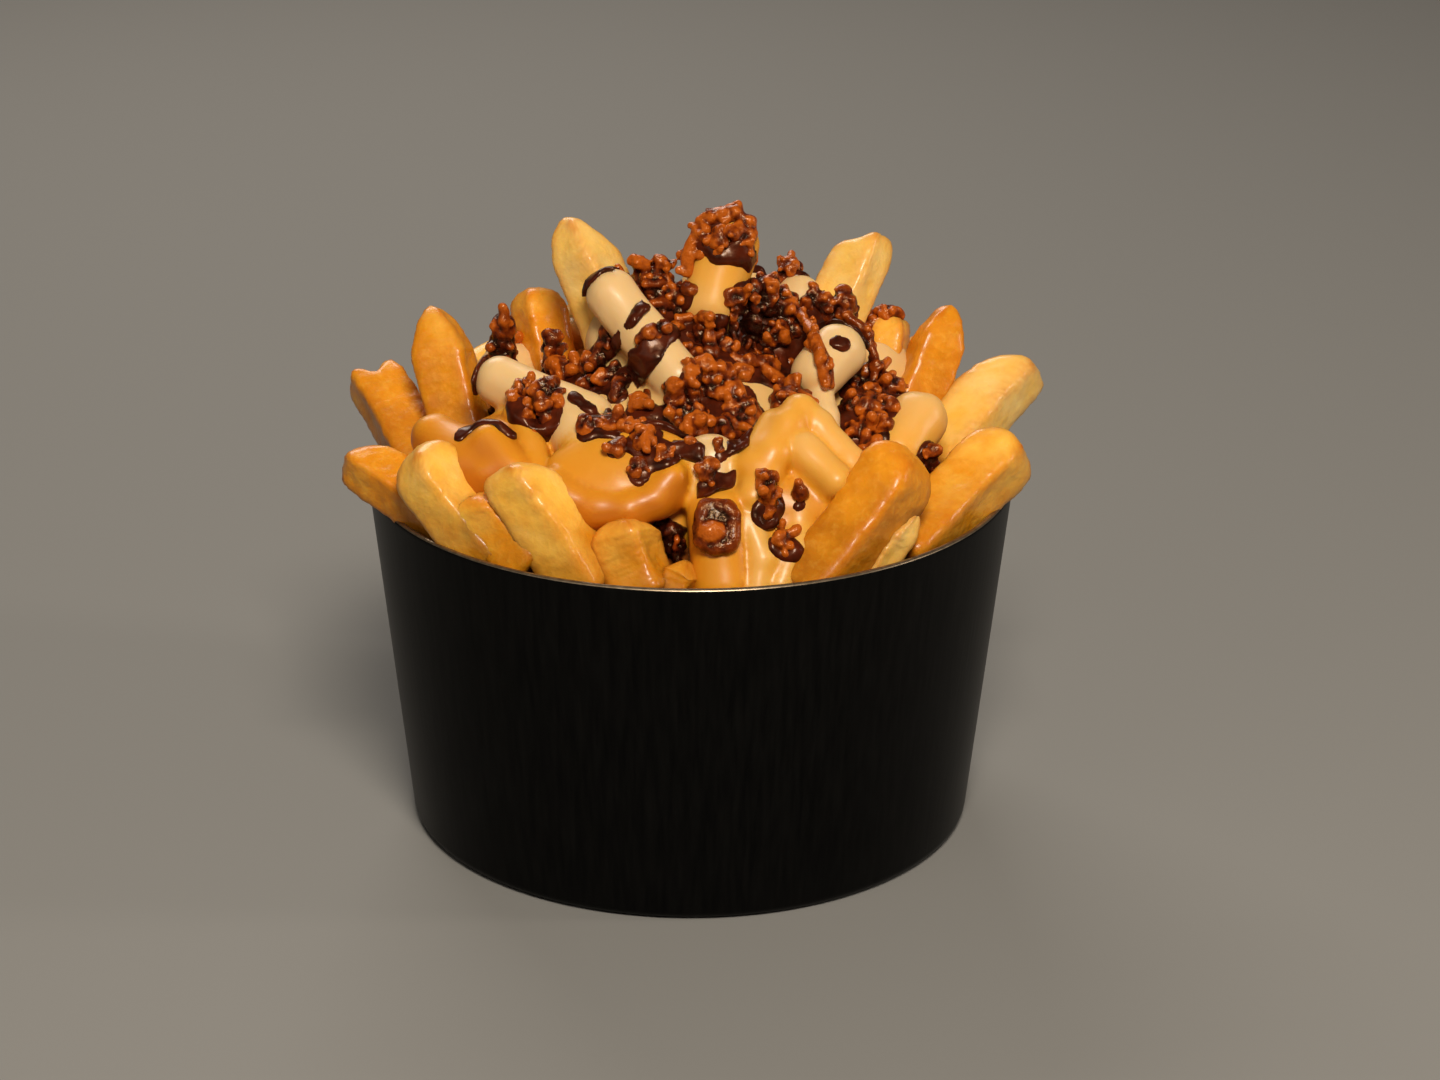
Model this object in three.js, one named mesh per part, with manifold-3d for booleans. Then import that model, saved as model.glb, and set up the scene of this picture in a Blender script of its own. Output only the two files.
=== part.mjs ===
// Cheese fries: thick-cut fries heaped in a plain black tub, under melted cheese, dark sauce and crumbs.
// Millimetres, +Z up. The origin is the middle of the tub's flat base, and the front of the heap faces -Y.

import * as THREE from "three";
import { mergeVertices } from "three/addons/utils/BufferGeometryUtils.js";
import Module from "manifold-3d";

const wasm = await Module();
wasm.setup();

// The tub: a thin tapered cup with a rolled rim and a rounded base edge.
const TUB_TOP_RADIUS = 74;
const TUB_BASE_RADIUS = 65;
const TUB_HEIGHT = 83.5;
const TUB_WALL = 1.2;
const TUB_FLOOR = 1.6;
const TUB_BASE_ROUND = 3;
const TUB_RIM_BEAD = 0.8;
const TUB_SIDES = 52;
// How finely the base edge and the rim are divided, and how far the rim rolls over.
const TUB_BASE_STEPS = 3;
const TUB_RIM_STEPS = 5;
const TUB_RIM_SWEEP = 1.15 * Math.PI;
// The base edge stops this short of the wall's own slope, and stands out by this to meet the wall.
const TUB_BASE_SHORT = 0.1;
const TUB_BASE_OUT = 0.3;

// The gap between pieces that touch.
const GAP = 0.3;

// The packed fries under the surface: a cone with a blunt top, a little under the rim at the wall.
const CORE_PEAK = 116.5;
const CORE_SLOPE = 0.63;
const CORE_BLUNT = 6;
const CORE_SIDES = 28;
const CORE_PROFILE_STEPS = 4;

// The melted cheese that lies on the packed fries, as a blanket with a lobed edge.
const BLANKET_THICKNESS = 7;
const BLANKET_RADIUS = 51;
const BLANKET_LOBE = 4;
const BLANKET_LOBES = 7;
const BLANKET_RINGS = 8;
const BLANKET_SECTORS = 32;

// Fries that show bare, each as tip, foot and thickness. The front ones follow the heap's own layout.
const BARE_FRIES = [
  { tip: [-77, -22, 94], foot: [-50, -41, 81], thick: 10.5, taper: 0.5 },
  { tip: [-75.5, 24, 97], foot: [-60, -4, 82], thick: 11.8, taper: 0.85 },
  { tip: [-60, 14, 118], foot: [-49, -4, 85], thick: 14, taper: 0.45 },
  { tip: [-60.5, -39, 102], foot: [-40, -50, 78], thick: 12.5, taper: 0.75 },
  { tip: [-48, -47, 93], foot: [-34, -56, 80], thick: 11, taper: 0.8 },
  { tip: [-39, -50, 102.5], foot: [-22, -59, 76], thick: 13.2, taper: 0.75 },
  { tip: [-15, -55, 91], foot: [-9.5, -61, 77], thick: 10.8, taper: 0.75 },
  { tip: [0, -59, 85], foot: [-4, -62, 76], thick: 7, taper: 0.6 },
  { tip: [-28.5, 12, 140], foot: [-15, -1, 107], thick: 13, taper: 0.45 },
  { tip: [-37, 28, 117], foot: [-32, 16, 94], thick: 10.5, taper: 0.6 },
  { tip: [48.5, -44, 104], foot: [25.5, -58, 75.5], thick: 14.4, taper: 0.8 },
  { tip: [73, -16, 95.5], foot: [46, -43, 78], thick: 13.6, taper: 0.75 },
  { tip: [78, 22, 101.5], foot: [56, -2, 83], thick: 14, taper: 0.7 },
  { tip: [60.5, 22, 116], foot: [47, 4, 88], thick: 12.8, taper: 0.4 },
  { tip: [40.5, 26, 131], foot: [24, 7, 102], thick: 12, taper: 0.55 },
  { tip: [46.7, 24, 112], foot: [42, 11, 90], thick: 8, taper: 0.7 },
  { tip: [47.5, -47, 87.5], foot: [34, -56.5, 74], thick: 6, taper: 0.4 },
];

// Fries that the cheese coats all over.
const COATED_FRIES = [
  { tip: [-21, -4, 130], foot: [0, -23, 109], thick: 11.2 },
  { tip: [-47, -14, 111], foot: [-18, -31, 104], thick: 11.2 },
  { tip: [-60, -24, 101.5], foot: [-40, -44, 95], thick: 11 },
  { tip: [-46.5, -34, 107], foot: [-36, -44, 97], thick: 10.5 },
  { tip: [4.5, -38, 105], foot: [7.5, -58, 77], thick: 14.5 },
  { tip: [21, -32, 109.5], foot: [11, -49, 98], thick: 12 },
  { tip: [24, -38, 105.5], foot: [35, -50, 93], thick: 11.8 },
  { tip: [54, -10, 104], foot: [43, -25, 92], thick: 13 },
  { tip: [36.5, -4, 117], foot: [25, -16, 108], thick: 12 },
  { tip: [27.5, 14, 123.5], foot: [19, 5, 115], thick: 10.5 },
  { tip: [9.7, 6, 141.5], foot: [3, -5, 118], thick: 13.5 },
];

// Pools of cheese with a thick lip: centre, half sizes, and the slope that each lies on in degrees.
const POOLS = [
  { centre: [-14, -46, 95], half: [17, 13, 7], slope: 40 },
  { centre: [20, -53, 83], half: [10, 9, 6], slope: 40 },
  { centre: [13, 46, 93], half: [17, 12, 7], slope: -40 },
];

// Swells of the blanket, where fries lie under it, as pools are given.
const SWELLS = [
  { centre: [-12, -1, 114], half: [12, 11, 11], slope: 0 },
  { centre: [20, 9, 111], half: [13, 11, 11], slope: 0 },
  { centre: [43, 18, 96], half: [10, 10, 12], slope: 0 },
  { centre: [-42, 20, 95], half: [10, 10, 11], slope: 0 },
  { centre: [-38, -25, 95], half: [14, 12, 10], slope: 0 },
  { centre: [20, -42, 91], half: [17, 12, 9], slope: 30 },
  { centre: [40, -7, 96], half: [12, 15, 9], slope: 0 },
  { centre: [-22, 42, 94], half: [13, 11, 8], slope: -30 },
];

// The back of the heap, out of the front view, is filled by rings of fries with a seeded spread.
const BACK_SEED = 2024;
const BACK_OUTER = {
  count: 9, first: 33, step: 14, tipRadius: 73, tipHeight: 91, rise: 13, footRadius: 52, footHeight: 80,
};
const BACK_INNER = {
  count: 6, first: 47, step: 18, tipRadius: 52, tipHeight: 103, rise: 8, footRadius: 33, footHeight: 93,
};
const BACK_COATED = {
  count: 3, first: 62, step: 30, tipRadius: 42, tipHeight: 108, rise: 7, footRadius: 20, footHeight: 106,
};

// Crumbs as large as berries are pieces of their own: place on the heap and width.
const CHUNKS = [
  { at: [-33, -29], width: 13 },
  { at: [-8, -35], width: 12 },
  { at: [6, -56], width: 13 },
  { at: [17.5, -42], width: 12 },
  { at: [40.5, 2], width: 15 },
  { at: [1, -26], width: 14 },
  { at: [8, 1], width: 12 },
  { at: [33, 11], width: 12 },
  { at: [9, 36], width: 13 },
];

// Patches of small crumbs that are stuck in the cheese: place on the heap and width.
const CRUMB_PATCHES = [
  { at: [-43, 22], width: 10 },
  { at: [-32, 16], width: 6 },
  { at: [-13, -1], width: 13 },
  { at: [-6, -7], width: 12 },
  { at: [-1, 3], width: 7 },
  { at: [21, 13], width: 12 },
  { at: [10, -6], width: 10 },
  { at: [18, 6], width: 12 },
  { at: [44, 21], width: 11 },
  { at: [3, -10], width: 9 },
  { at: [21, 0], width: 10 },
  { at: [11, -13], width: 9 },
  { at: [20, -14], width: 9 },
  { at: [27, -21], width: 7 },
  { at: [39, -24], width: 12 },
  { at: [-27, 3], width: 9 },
  { at: [-19, -10], width: 12 },
  { at: [-12, -25], width: 8 },
  { at: [-21, -35], width: 10 },
  { at: [-14, -39], width: 8 },
  { at: [-7, -20], width: 9 },
  { at: [9, -28], width: 12 },
  { at: [-4, -31], width: 9 },
  { at: [4, -47], width: 9 },
  { at: [25, -43], width: 7 },
  { at: [21, -55], width: 9 },
  { at: [50, -33], width: 7 },
  { at: [28, 22], width: 12 },
  { at: [8, 22], width: 14 },
  { at: [-10, 20], width: 13 },
  { at: [-4, 44], width: 11 },
  { at: [-28, 34], width: 10 },
];
const CRUMB_AREA = 80;
const CRUMB_RADII = [2.3, 3.7];

// Dark sauce that was drizzled over the top, as strips that follow the surface.
const DRIZZLE_RADIUS = 1.4;
const DRIZZLES = [
  [[23, 3], [28, -7], [30, -14], [30, -20]],
  [[-26, -29], [-20, -35], [-13, -40], [-7, -41]],
  [[20, 36], [8, 31], [-6, 34]],
];

const black = new THREE.MeshStandardMaterial({ color: 0x0c0c0d, metalness: 0.4, roughness: 0.45 });
const golden = new THREE.MeshStandardMaterial({ color: 0xe0a045, roughness: 0.6 });
const cheese = new THREE.MeshStandardMaterial({ color: 0xe6b060, roughness: 0.3 });
const brown = new THREE.MeshStandardMaterial({ color: 0x6e2c12, roughness: 0.35 });

// A seeded random number from 0 to 1, the same on every run.
function randomSource(seed) {
  let state = seed;
  return () => {
    state = (state * 16807) % 2147483647;
    return state / 2147483647;
  };
}

function between(low, high, share) {
  return low + (high - low) * share;
}

// A closed geometry as a solid that faces out.
function solidOf(geometry) {
  const bare = geometry.index ? geometry.toNonIndexed() : geometry.clone();
  bare.deleteAttribute("normal");
  bare.deleteAttribute("uv");
  const merged = mergeVertices(bare, 1e-4);
  const triVerts = new Uint32Array(merged.index.array);
  const vertProperties = merged.attributes.position.array;
  const made = new wasm.Manifold(new wasm.Mesh({ numProp: 3, vertProperties, triVerts }));
  if (made.volume() > 0) return made;
  for (let i = 0; i < triVerts.length; i += 3) triVerts.subarray(i, i + 3).reverse();
  return new wasm.Manifold(new wasm.Mesh({ numProp: 3, vertProperties, triVerts }));
}

function fuse(solids) {
  return solids.reduce((whole, piece) => whole.add(piece));
}

// The largest body alone: loose scraps are dropped and sealed hollows are filled.
function largestBody(solid) {
  return solid.decompose().reduce((a, b) => (b.volume() > a.volume() ? b : a));
}

function meshOf(name, solid, material) {
  const { vertProperties, triVerts } = solid.getMesh();
  const geometry = new THREE.BufferGeometry();
  geometry.setAttribute("position", new THREE.BufferAttribute(vertProperties, 3));
  geometry.setIndex(new THREE.BufferAttribute(triVerts, 1));
  geometry.computeVertexNormals();
  const mesh = new THREE.Mesh(geometry, material);
  mesh.name = name;
  return mesh;
}

// Rings of points joined into a closed skin, with a flat fan at each end.
function skinOf(rings) {
  const sides = rings[0].length;
  const points = rings.flat();
  const faces = [];
  for (let ring = 0; ring + 1 < rings.length; ring++) {
    for (let k = 0; k < sides; k++) {
      const a = ring * sides + k;
      const b = ring * sides + ((k + 1) % sides);
      faces.push(a, b, b + sides, a, b + sides, a + sides);
    }
  }
  const last = (rings.length - 1) * sides;
  for (let k = 1; k + 1 < sides; k++) {
    faces.push(0, k + 1, k);
    faces.push(last, last + k, last + k + 1);
  }
  const geometry = new THREE.BufferGeometry().setFromPoints(points);
  geometry.setIndex(faces);
  return geometry;
}

// The wall's inner radius at a height.
function wallRadius(height) {
  const share = height / TUB_HEIGHT;
  return between(TUB_BASE_RADIUS, TUB_TOP_RADIUS, share) - TUB_WALL;
}

function lathe(profile, sides) {
  const points = profile.map(([radius, height]) => new THREE.Vector2(radius, height));
  return solidOf(new THREE.LatheGeometry(points, sides).rotateX(Math.PI / 2));
}

// The profile runs from the axis along the underside, up the outside, over the rim and down the inside.
function tub(grow = 0) {
  const profile = [[0, -grow]];
  const round = TUB_BASE_ROUND;
  for (let step = 0; step <= TUB_BASE_STEPS; step++) {
    const angle = -Math.PI / 2 + (step / TUB_BASE_STEPS) * (Math.PI / 2 - TUB_BASE_SHORT);
    const radius = TUB_BASE_RADIUS - round + TUB_BASE_OUT + (round + grow) * Math.cos(angle);
    profile.push([radius, round + (round + grow) * Math.sin(angle)]);
  }
  const rimMiddle = TUB_TOP_RADIUS - TUB_RIM_BEAD;
  const bead = TUB_RIM_BEAD + grow;
  for (let step = 0; step <= TUB_RIM_STEPS; step++) {
    const angle = (step / TUB_RIM_STEPS) * TUB_RIM_SWEEP;
    profile.push([rimMiddle + bead * Math.cos(angle), TUB_HEIGHT - TUB_RIM_BEAD + bead * Math.sin(angle)]);
  }
  profile.push([wallRadius(TUB_HEIGHT - 3) - grow, TUB_HEIGHT - 3]);
  profile.push([wallRadius(TUB_FLOOR + 2) - grow, TUB_FLOOR + 2]);
  profile.push([wallRadius(TUB_FLOOR) - 2 - grow, TUB_FLOOR + grow]);
  profile.push([0, TUB_FLOOR + grow]);
  return lathe(profile, TUB_SIDES);
}

// The height of the packed fries at a distance from the axis.
function coreHeight(radius) {
  return CORE_PEAK - CORE_SLOPE * Math.hypot(radius, CORE_BLUNT);
}

function core(grow = 0) {
  const edge = wallRadius(coreHeight(TUB_BASE_RADIUS)) - 2 * GAP;
  const bottom = TUB_FLOOR + GAP - grow;
  const profile = [[0, bottom]];
  profile.push([wallRadius(TUB_FLOOR) - 2.5 + grow, bottom]);
  profile.push([wallRadius(TUB_FLOOR + 2) - 2 * GAP + grow, TUB_FLOOR + 2]);
  for (let step = 0; step < CORE_PROFILE_STEPS; step++) {
    const radius = edge * (1 - step / CORE_PROFILE_STEPS);
    profile.push([radius + (step ? 0 : grow), coreHeight(radius) + grow * 1.25]);
  }
  profile.push([0, coreHeight(0) + grow * 1.25]);
  return lathe(profile, CORE_SIDES);
}

// Two directions across an axis: the first level, the second up the slope, turned by the roll.
function acrossOf(tip, foot, roll) {
  const along = foot.clone().sub(tip).normalize();
  const level = new THREE.Vector3(0, 0, 1).cross(along).normalize();
  const up = along.clone().cross(level);
  const a = level.clone().multiplyScalar(Math.cos(roll)).addScaledVector(up, Math.sin(roll));
  const b = up.clone().multiplyScalar(Math.cos(roll)).addScaledVector(level, -Math.sin(roll));
  return { along, a, b };
}

// A cut potato stick: a square section with blunted corners, a tapered tip cut at a slant.
const STICK_RINGS = [[0, 0], [0.12, 0.78], [0.3, 1], [1, 0.96]];
const STICK_BLUNT = 0.58;
function stick({ tip, foot, thick, taper, roll, slant }, grow = 0) {
  const start = new THREE.Vector3(...tip);
  const end = new THREE.Vector3(...foot);
  const { along, a, b } = acrossOf(start, end, roll);
  const length = start.distanceTo(end);
  const corners = [];
  for (const [i, j] of [[1, 1], [-1, 1], [-1, -1], [1, -1]]) {
    const odd = i * j > 0;
    corners.push(odd ? [i, j * STICK_BLUNT] : [i * STICK_BLUNT, j]);
    corners.push(odd ? [i * STICK_BLUNT, j] : [i, j * STICK_BLUNT]);
  }
  const rings = STICK_RINGS.map(([share, full]) => {
    const half = (thick / 2) * between(taper, 1, full) + grow;
    const pushed = share === 0 ? -grow : share === 1 ? grow : 0;
    return corners.map(([i, j]) => {
      const slanted = slant * (1 - share) * i * half;
      const point = start.clone().addScaledVector(along, share * length + pushed + slanted);
      return point.addScaledVector(a, i * half).addScaledVector(b, j * half);
    });
  });
  return solidOf(skinOf(rings));
}

// A fry under cheese: round all over, with a domed tip.
const COATED_RINGS = [[0, 0.42], [0.14, 0.88], [0.35, 1.02], [1, 0.9]];
const COATED_SIDES = 8;
function coatedStick({ tip, foot, thick }) {
  const start = new THREE.Vector3(...tip);
  const end = new THREE.Vector3(...foot);
  const { along, a, b } = acrossOf(start, end, 0);
  const length = start.distanceTo(end);
  const rings = COATED_RINGS.map(([share, full]) => {
    const ring = [];
    for (let side = 0; side < COATED_SIDES; side++) {
      const angle = (side / COATED_SIDES) * 2 * Math.PI;
      const point = start.clone().addScaledVector(along, share * length);
      point.addScaledVector(a, (thick / 2) * full * Math.cos(angle));
      ring.push(point.addScaledVector(b, (thick / 2) * full * Math.sin(angle)));
    }
    return ring;
  });
  return solidOf(skinOf(rings));
}

// A ring of fries round the back of the heap, which cross each other at random.
const BACK_SPREAD = { angle: 5, swing: 38, reach: 3, height: 4 };
function backRing({ count, first, step, tipRadius, tipHeight, rise, footRadius, footHeight }, random) {
  const spread = (most) => between(-most, most, random());
  const fries = [];
  for (let k = 0; k < count; k++) {
    const angle = THREE.MathUtils.degToRad(first + k * step + spread(BACK_SPREAD.angle));
    const footAngle = angle + THREE.MathUtils.degToRad(spread(BACK_SPREAD.swing));
    const reach = tipRadius + spread(BACK_SPREAD.reach);
    const height = tipHeight + rise * Math.sin(angle) ** 4 + spread(BACK_SPREAD.height);
    fries.push({
      tip: [reach * Math.cos(angle), reach * Math.sin(angle), height],
      foot: [footRadius * Math.cos(footAngle), footRadius * Math.sin(footAngle), footHeight],
      thick: between(10.5, 14.5, random()),
      taper: between(0.45, 0.8, random()),
    });
  }
  return fries;
}

const backRandom = randomSource(BACK_SEED);
const bareFries = [...BARE_FRIES, ...backRing(BACK_OUTER, backRandom), ...backRing(BACK_INNER, backRandom)];
const coatedFries = [...COATED_FRIES, ...backRing(BACK_COATED, backRandom)];
for (const fry of bareFries) {
  fry.roll = between(-0.5, 0.5, backRandom());
  fry.slant = between(-0.5, 0.5, backRandom());
}

// The blanket's reach from the axis in a direction.
function blanketReach(angle) {
  return BLANKET_RADIUS + BLANKET_LOBE * Math.sin(BLANKET_LOBES * angle) * Math.cos(2 * angle + 1);
}

// The blanket's top over a point: the cheese's own thickness or a swell, rounded down at the edge.
function blanketTop(x, y) {
  const radius = Math.hypot(x, y);
  const share = Math.min(1, radius / blanketReach(Math.atan2(y, x)));
  const ground = coreHeight(radius);
  const rise = Math.max(BLANKET_THICKNESS, ...SWELLS.map((swell) => poolTop(swell, x, y) - ground));
  return ground + rise * Math.sqrt(1 - share ** 6);
}

function blanket() {
  const rings = [];
  for (let ring = BLANKET_RINGS; ring >= 0; ring--) {
    const share = Math.max(ring, 0.05) / BLANKET_RINGS;
    const points = [];
    for (let sector = 0; sector < BLANKET_SECTORS; sector++) {
      const angle = (sector / BLANKET_SECTORS) * 2 * Math.PI;
      const radius = blanketReach(angle) * share;
      const x = radius * Math.cos(angle);
      const y = radius * Math.sin(angle);
      points.push(new THREE.Vector3(x, y, blanketTop(x, y)));
    }
    rings.push(points);
  }
  const underside = coreHeight(BLANKET_RADIUS + BLANKET_LOBE) - GAP;
  const skirt = rings[0].map((point) => point.clone().setZ(underside));
  return solidOf(skinOf([skirt, ...rings]));
}

function pool({ centre, half, slope }) {
  const geometry = new THREE.SphereGeometry(1, 10, 6).rotateX(Math.PI / 2).scale(...half);
  geometry.rotateX(THREE.MathUtils.degToRad(slope)).translate(...centre);
  return solidOf(geometry);
}

// The top of a pool over a point, or nothing where the pool isn't under it.
function poolTop({ centre, half, slope }, x, y) {
  const across = (x - centre[0]) / half[0];
  const tan = Math.tan(THREE.MathUtils.degToRad(slope));
  const down = ((y - centre[1]) * Math.hypot(1, tan)) / half[1];
  const left = 1 - across * across - down * down;
  if (left <= 0) return -Infinity;
  return centre[2] + (y - centre[1]) * tan + half[2] * Math.sqrt(left);
}

// The top of a fry over a point, or nothing where the fry isn't under it.
function fryTop({ tip, foot, thick }, x, y) {
  const run = [foot[0] - tip[0], foot[1] - tip[1]];
  const share = ((x - tip[0]) * run[0] + (y - tip[1]) * run[1]) / (run[0] ** 2 + run[1] ** 2);
  const held = THREE.MathUtils.clamp(share, 0.1, 1);
  const away = Math.hypot(x - tip[0] - held * run[0], y - tip[1] - held * run[1]);
  const left = (thick / 2) ** 2 - away ** 2;
  return left <= 0 ? -Infinity : between(tip[2], foot[2], held) + Math.sqrt(left);
}

// The heap's surface over a point: the highest of the blanket, the pools and the coated fries.
function surfaceHeight(x, y) {
  const pools = POOLS.map((each) => poolTop(each, x, y));
  const fries = coatedFries.map((each) => fryTop(each, x, y));
  return Math.max(blanketTop(x, y), ...pools, ...fries);
}

// An uneven lump: a ball of triangles whose corners are pulled in and out.
function lump({ centre, radius, detail, flat }, random, grow = 0) {
  const ball = new THREE.IcosahedronGeometry(1, detail);
  ball.deleteAttribute("normal");
  ball.deleteAttribute("uv");
  const geometry = mergeVertices(ball);
  const position = geometry.attributes.position;
  const stretch = [between(0.85, 1.2, random()), between(0.85, 1.2, random()), flat];
  for (let i = 0; i < position.count; i++) {
    const uneven = radius * between(0.78, 1.15, random());
    const point = new THREE.Vector3().fromBufferAttribute(position, i);
    const [x, y, z] = stretch.map((scale, axis) => point.getComponent(axis) * (uneven * scale + grow));
    position.setXYZ(i, x, y, z);
  }
  geometry.rotateZ(random() * Math.PI).translate(...centre);
  return solidOf(geometry);
}

// A chunk: one large craggy lump that is sunk a little into what it lies on.
function chunk({ at, width }, index, grow = 0) {
  const random = randomSource(BACK_SEED + 97 * (index + 1));
  const centre = [...at, surfaceHeight(...at) + width * 0.15];
  return lump({ centre, radius: width / 2, detail: 1, flat: 0.75 }, random, grow);
}

// A patch: small crumbs spread over one place, each sunk a little into the cheese.
function crumbPatch({ at, width }, random) {
  const count = Math.round((width * width) / CRUMB_AREA);
  const crumbs = [];
  for (let k = 0; k < count; k++) {
    const angle = random() * 2 * Math.PI;
    const reach = (width / 2) * Math.sqrt(random()) * 0.9;
    const x = at[0] + reach * Math.cos(angle);
    const y = at[1] + reach * Math.sin(angle);
    const radius = between(...CRUMB_RADII, random());
    const centre = [x, y, surfaceHeight(x, y) + 0.25 * radius];
    crumbs.push(lump({ centre, radius, detail: 0, flat: 0.85 }, random));
  }
  return crumbs;
}

// A strip of dark sauce over the surface, through its places in plan.
const DRIZZLE_SIDES = 5;
function drizzle(places) {
  const points = places.map(([x, y]) => new THREE.Vector3(x, y, surfaceHeight(x, y)));
  const path = new THREE.CatmullRomCurve3(points);
  const outline = new THREE.Shape();
  outline.absarc(0, 0, DRIZZLE_RADIUS, 0, 2 * Math.PI);
  const options = { steps: 4, curveSegments: DRIZZLE_SIDES, bevelEnabled: false, extrudePath: path };
  return solidOf(new THREE.ExtrudeGeometry(outline, options));
}

const grownTub = tub(GAP);
const chunks = CHUNKS.map((each, index) => chunk(each, index));
const grownChunks = fuse(CHUNKS.map((each, index) => chunk(each, index, GAP)));

const fries = largestBody(
  fuse([core(), ...bareFries.map((fry) => stick(fry))])
    .subtract(grownTub)
    .subtract(grownChunks),
);

const crumbRandom = randomSource(BACK_SEED + 1);
const cheeseSauce = largestBody(
  fuse([
    blanket(),
    ...coatedFries.map(coatedStick),
    ...POOLS.map(pool),
    ...CRUMB_PATCHES.flatMap((patch) => crumbPatch(patch, crumbRandom)),
    ...DRIZZLES.map(drizzle),
  ])
    .subtract(fuse([core(GAP), ...bareFries.map((fry) => stick(fry, GAP))]))
    .subtract(grownTub)
    .subtract(grownChunks),
);

const cheeseFries = new THREE.Group();
cheeseFries.add(meshOf("tub", tub(), black));
cheeseFries.add(meshOf("fries", fries, golden));
cheeseFries.add(meshOf("cheese_sauce", cheeseSauce, cheese));
chunks.forEach((each, index) => cheeseFries.add(meshOf(`chunk_${index + 1}`, each, brown)));

export default cheeseFries;
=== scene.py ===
"""Cheese fries in a plain black tub: the looks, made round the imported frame.

Lengths in the tables are millimetres in the frame's own axes, and MM turns them into metres.
"""

import math

import bpy
import numpy as np
from mathutils import Euler, Matrix, Vector, noise


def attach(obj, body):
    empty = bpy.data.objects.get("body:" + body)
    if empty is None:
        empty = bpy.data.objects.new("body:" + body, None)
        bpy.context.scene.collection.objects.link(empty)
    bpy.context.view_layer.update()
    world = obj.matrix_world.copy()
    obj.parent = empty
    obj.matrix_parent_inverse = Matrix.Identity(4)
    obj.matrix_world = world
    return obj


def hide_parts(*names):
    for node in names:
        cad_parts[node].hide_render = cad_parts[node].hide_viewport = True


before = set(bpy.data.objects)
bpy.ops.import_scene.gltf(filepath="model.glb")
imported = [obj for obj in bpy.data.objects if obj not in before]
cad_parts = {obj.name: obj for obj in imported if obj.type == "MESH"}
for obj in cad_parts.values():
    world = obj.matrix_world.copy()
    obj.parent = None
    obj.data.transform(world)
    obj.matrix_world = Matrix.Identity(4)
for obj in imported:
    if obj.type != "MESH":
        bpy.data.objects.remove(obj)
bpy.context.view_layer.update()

MM = 0.001

# The camera: the photograph's angle, worked out from the tub's rim and sides.
CAMERA_ELEVATION = 21.918
CAMERA_ROLL = 0.36
CAMERA_DISTANCE = 925.6
CAMERA_AIM = (6.76, 0.0, 65.27)
CAMERA_LENS = 100.0

# The tub, as in the frame.
TUB_TOP_RADIUS = 74.0
TUB_BASE_RADIUS = 65.0
TUB_HEIGHT = 83.5
TUB_WALL = 1.2
TUB_FLOOR = 1.6
TUB_BASE_ROUND = 3.0
TUB_RIM_BEAD = 0.8

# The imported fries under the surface, and the blanket of cheese on them, as in the frame.
CORE_PEAK = 116.5
CORE_SLOPE = 0.63
CORE_BLUNT = 6.0
BLANKET_THICKNESS = 7.0
BLANKET_RADIUS = 51.0
BLANKET_LOBE = 4.0
BLANKET_LOBES = 7

# Fries that show bare: tip, foot, thickness, the share of it left at the tip, how the tip was cut,
# and how pale the fry is: 0 is deep golden, and more is paler.
BARE_FRIES = [
    ((-75, -23, 94), (-50, -41, 81), 10.5, 0.5, "round", 0.15),
    ((-75.5, 24, 97), (-60, -4, 82), 11.8, 0.85, "notch", 0.1),
    ((-60, 14, 118), (-49, -4, 85), 14, 0.45, "ridge", 0.15),
    ((-60.5, -39, 102), (-40, -50, 78), 12.5, 0.75, "round", 0.6),
    ((-48, -47, 93), (-34, -56, 80), 11, 0.8, "flat", 0.3),
    ((-39, -50, 102.5), (-22, -59, 76), 13.2, 0.75, "round", 0.6),
    ((-15, -55, 92), (-9.5, -61, 77), 12.2, 0.8, "round", 0.4),
    ((0, -59, 85), (-4, -62, 76), 7, 0.6, "point", 0.3),
    ((-28.5, 12, 140), (-15, -1, 107), 12, 0.45, "point", 1.0),
    ((-37, 28, 117), (-32, 16, 94), 10.5, 0.6, "round", 0.2),
    ((48.5, -44, 104), (25.5, -58, 75.5), 14.4, 0.8, "round", 0.05),
    ((73, -16, 95.5), (46, -43, 78), 13.6, 0.75, "flat", 0.4),
    ((77, 22, 101), (56, -2, 83), 13.5, 0.7, "flat", 0.95),
    ((60.5, 22, 116), (47, 4, 88), 12.8, 0.4, "ridge", 0.0),
    ((40.5, 26, 130), (24, 7, 102), 11, 0.55, "chisel", 1.05),
    ((46.7, 24, 112), (42, 11, 90), 8, 0.7, "flat", 0.4),
    ((50, -48, 92), (38, -56, 74), 6.5, 0.4, "point", 1.6),
]

# Fries under cheese: tip, foot, thickness, and how creamy the cheese is at the tip and the foot,
# from 0 amber to 1.
COATED_FRIES = [
    ((-21, -4, 130), (0, -23, 109), 11.2, 1.0, 0.95),
    ((-47, -14, 111), (-18, -31, 104), 11.2, 0.95, 0.9),
    ((-60, -24, 101.5), (-40, -44, 95), 11, 0.0, 0.0),
    ((-46.5, -34, 105), (-36, -44, 96), 8.5, 0.0, 0.0),
    ((4.5, -38, 105), (7.5, -58, 77), 11.5, 0.95, 0.0),
    ((21, -32, 108), (12, -48, 98), 9, 0.35, 0.15),
    ((22, -39.5, 105), (34.5, -49.5, 96.5), 8, 0.5, 0.3),
    ((54, -10, 104), (43, -25, 92), 13, 0.6, 0.25),
    ((36.5, -4, 117), (25, -16, 108), 12, 1.0, 0.9),
    ((27.5, 14, 123.5), (19, 5, 115), 10.5, 1.0, 1.0),
    ((9.7, 6, 141.5), (3, -5, 118), 13.5, 0.15, 0.75),
]
# Those of them that stay clean of dark sauce apart from their bands.
CLEAN_FRIES = (0, 1, 2, 4, 5, 6, 7, 8, 9, 10)

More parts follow.
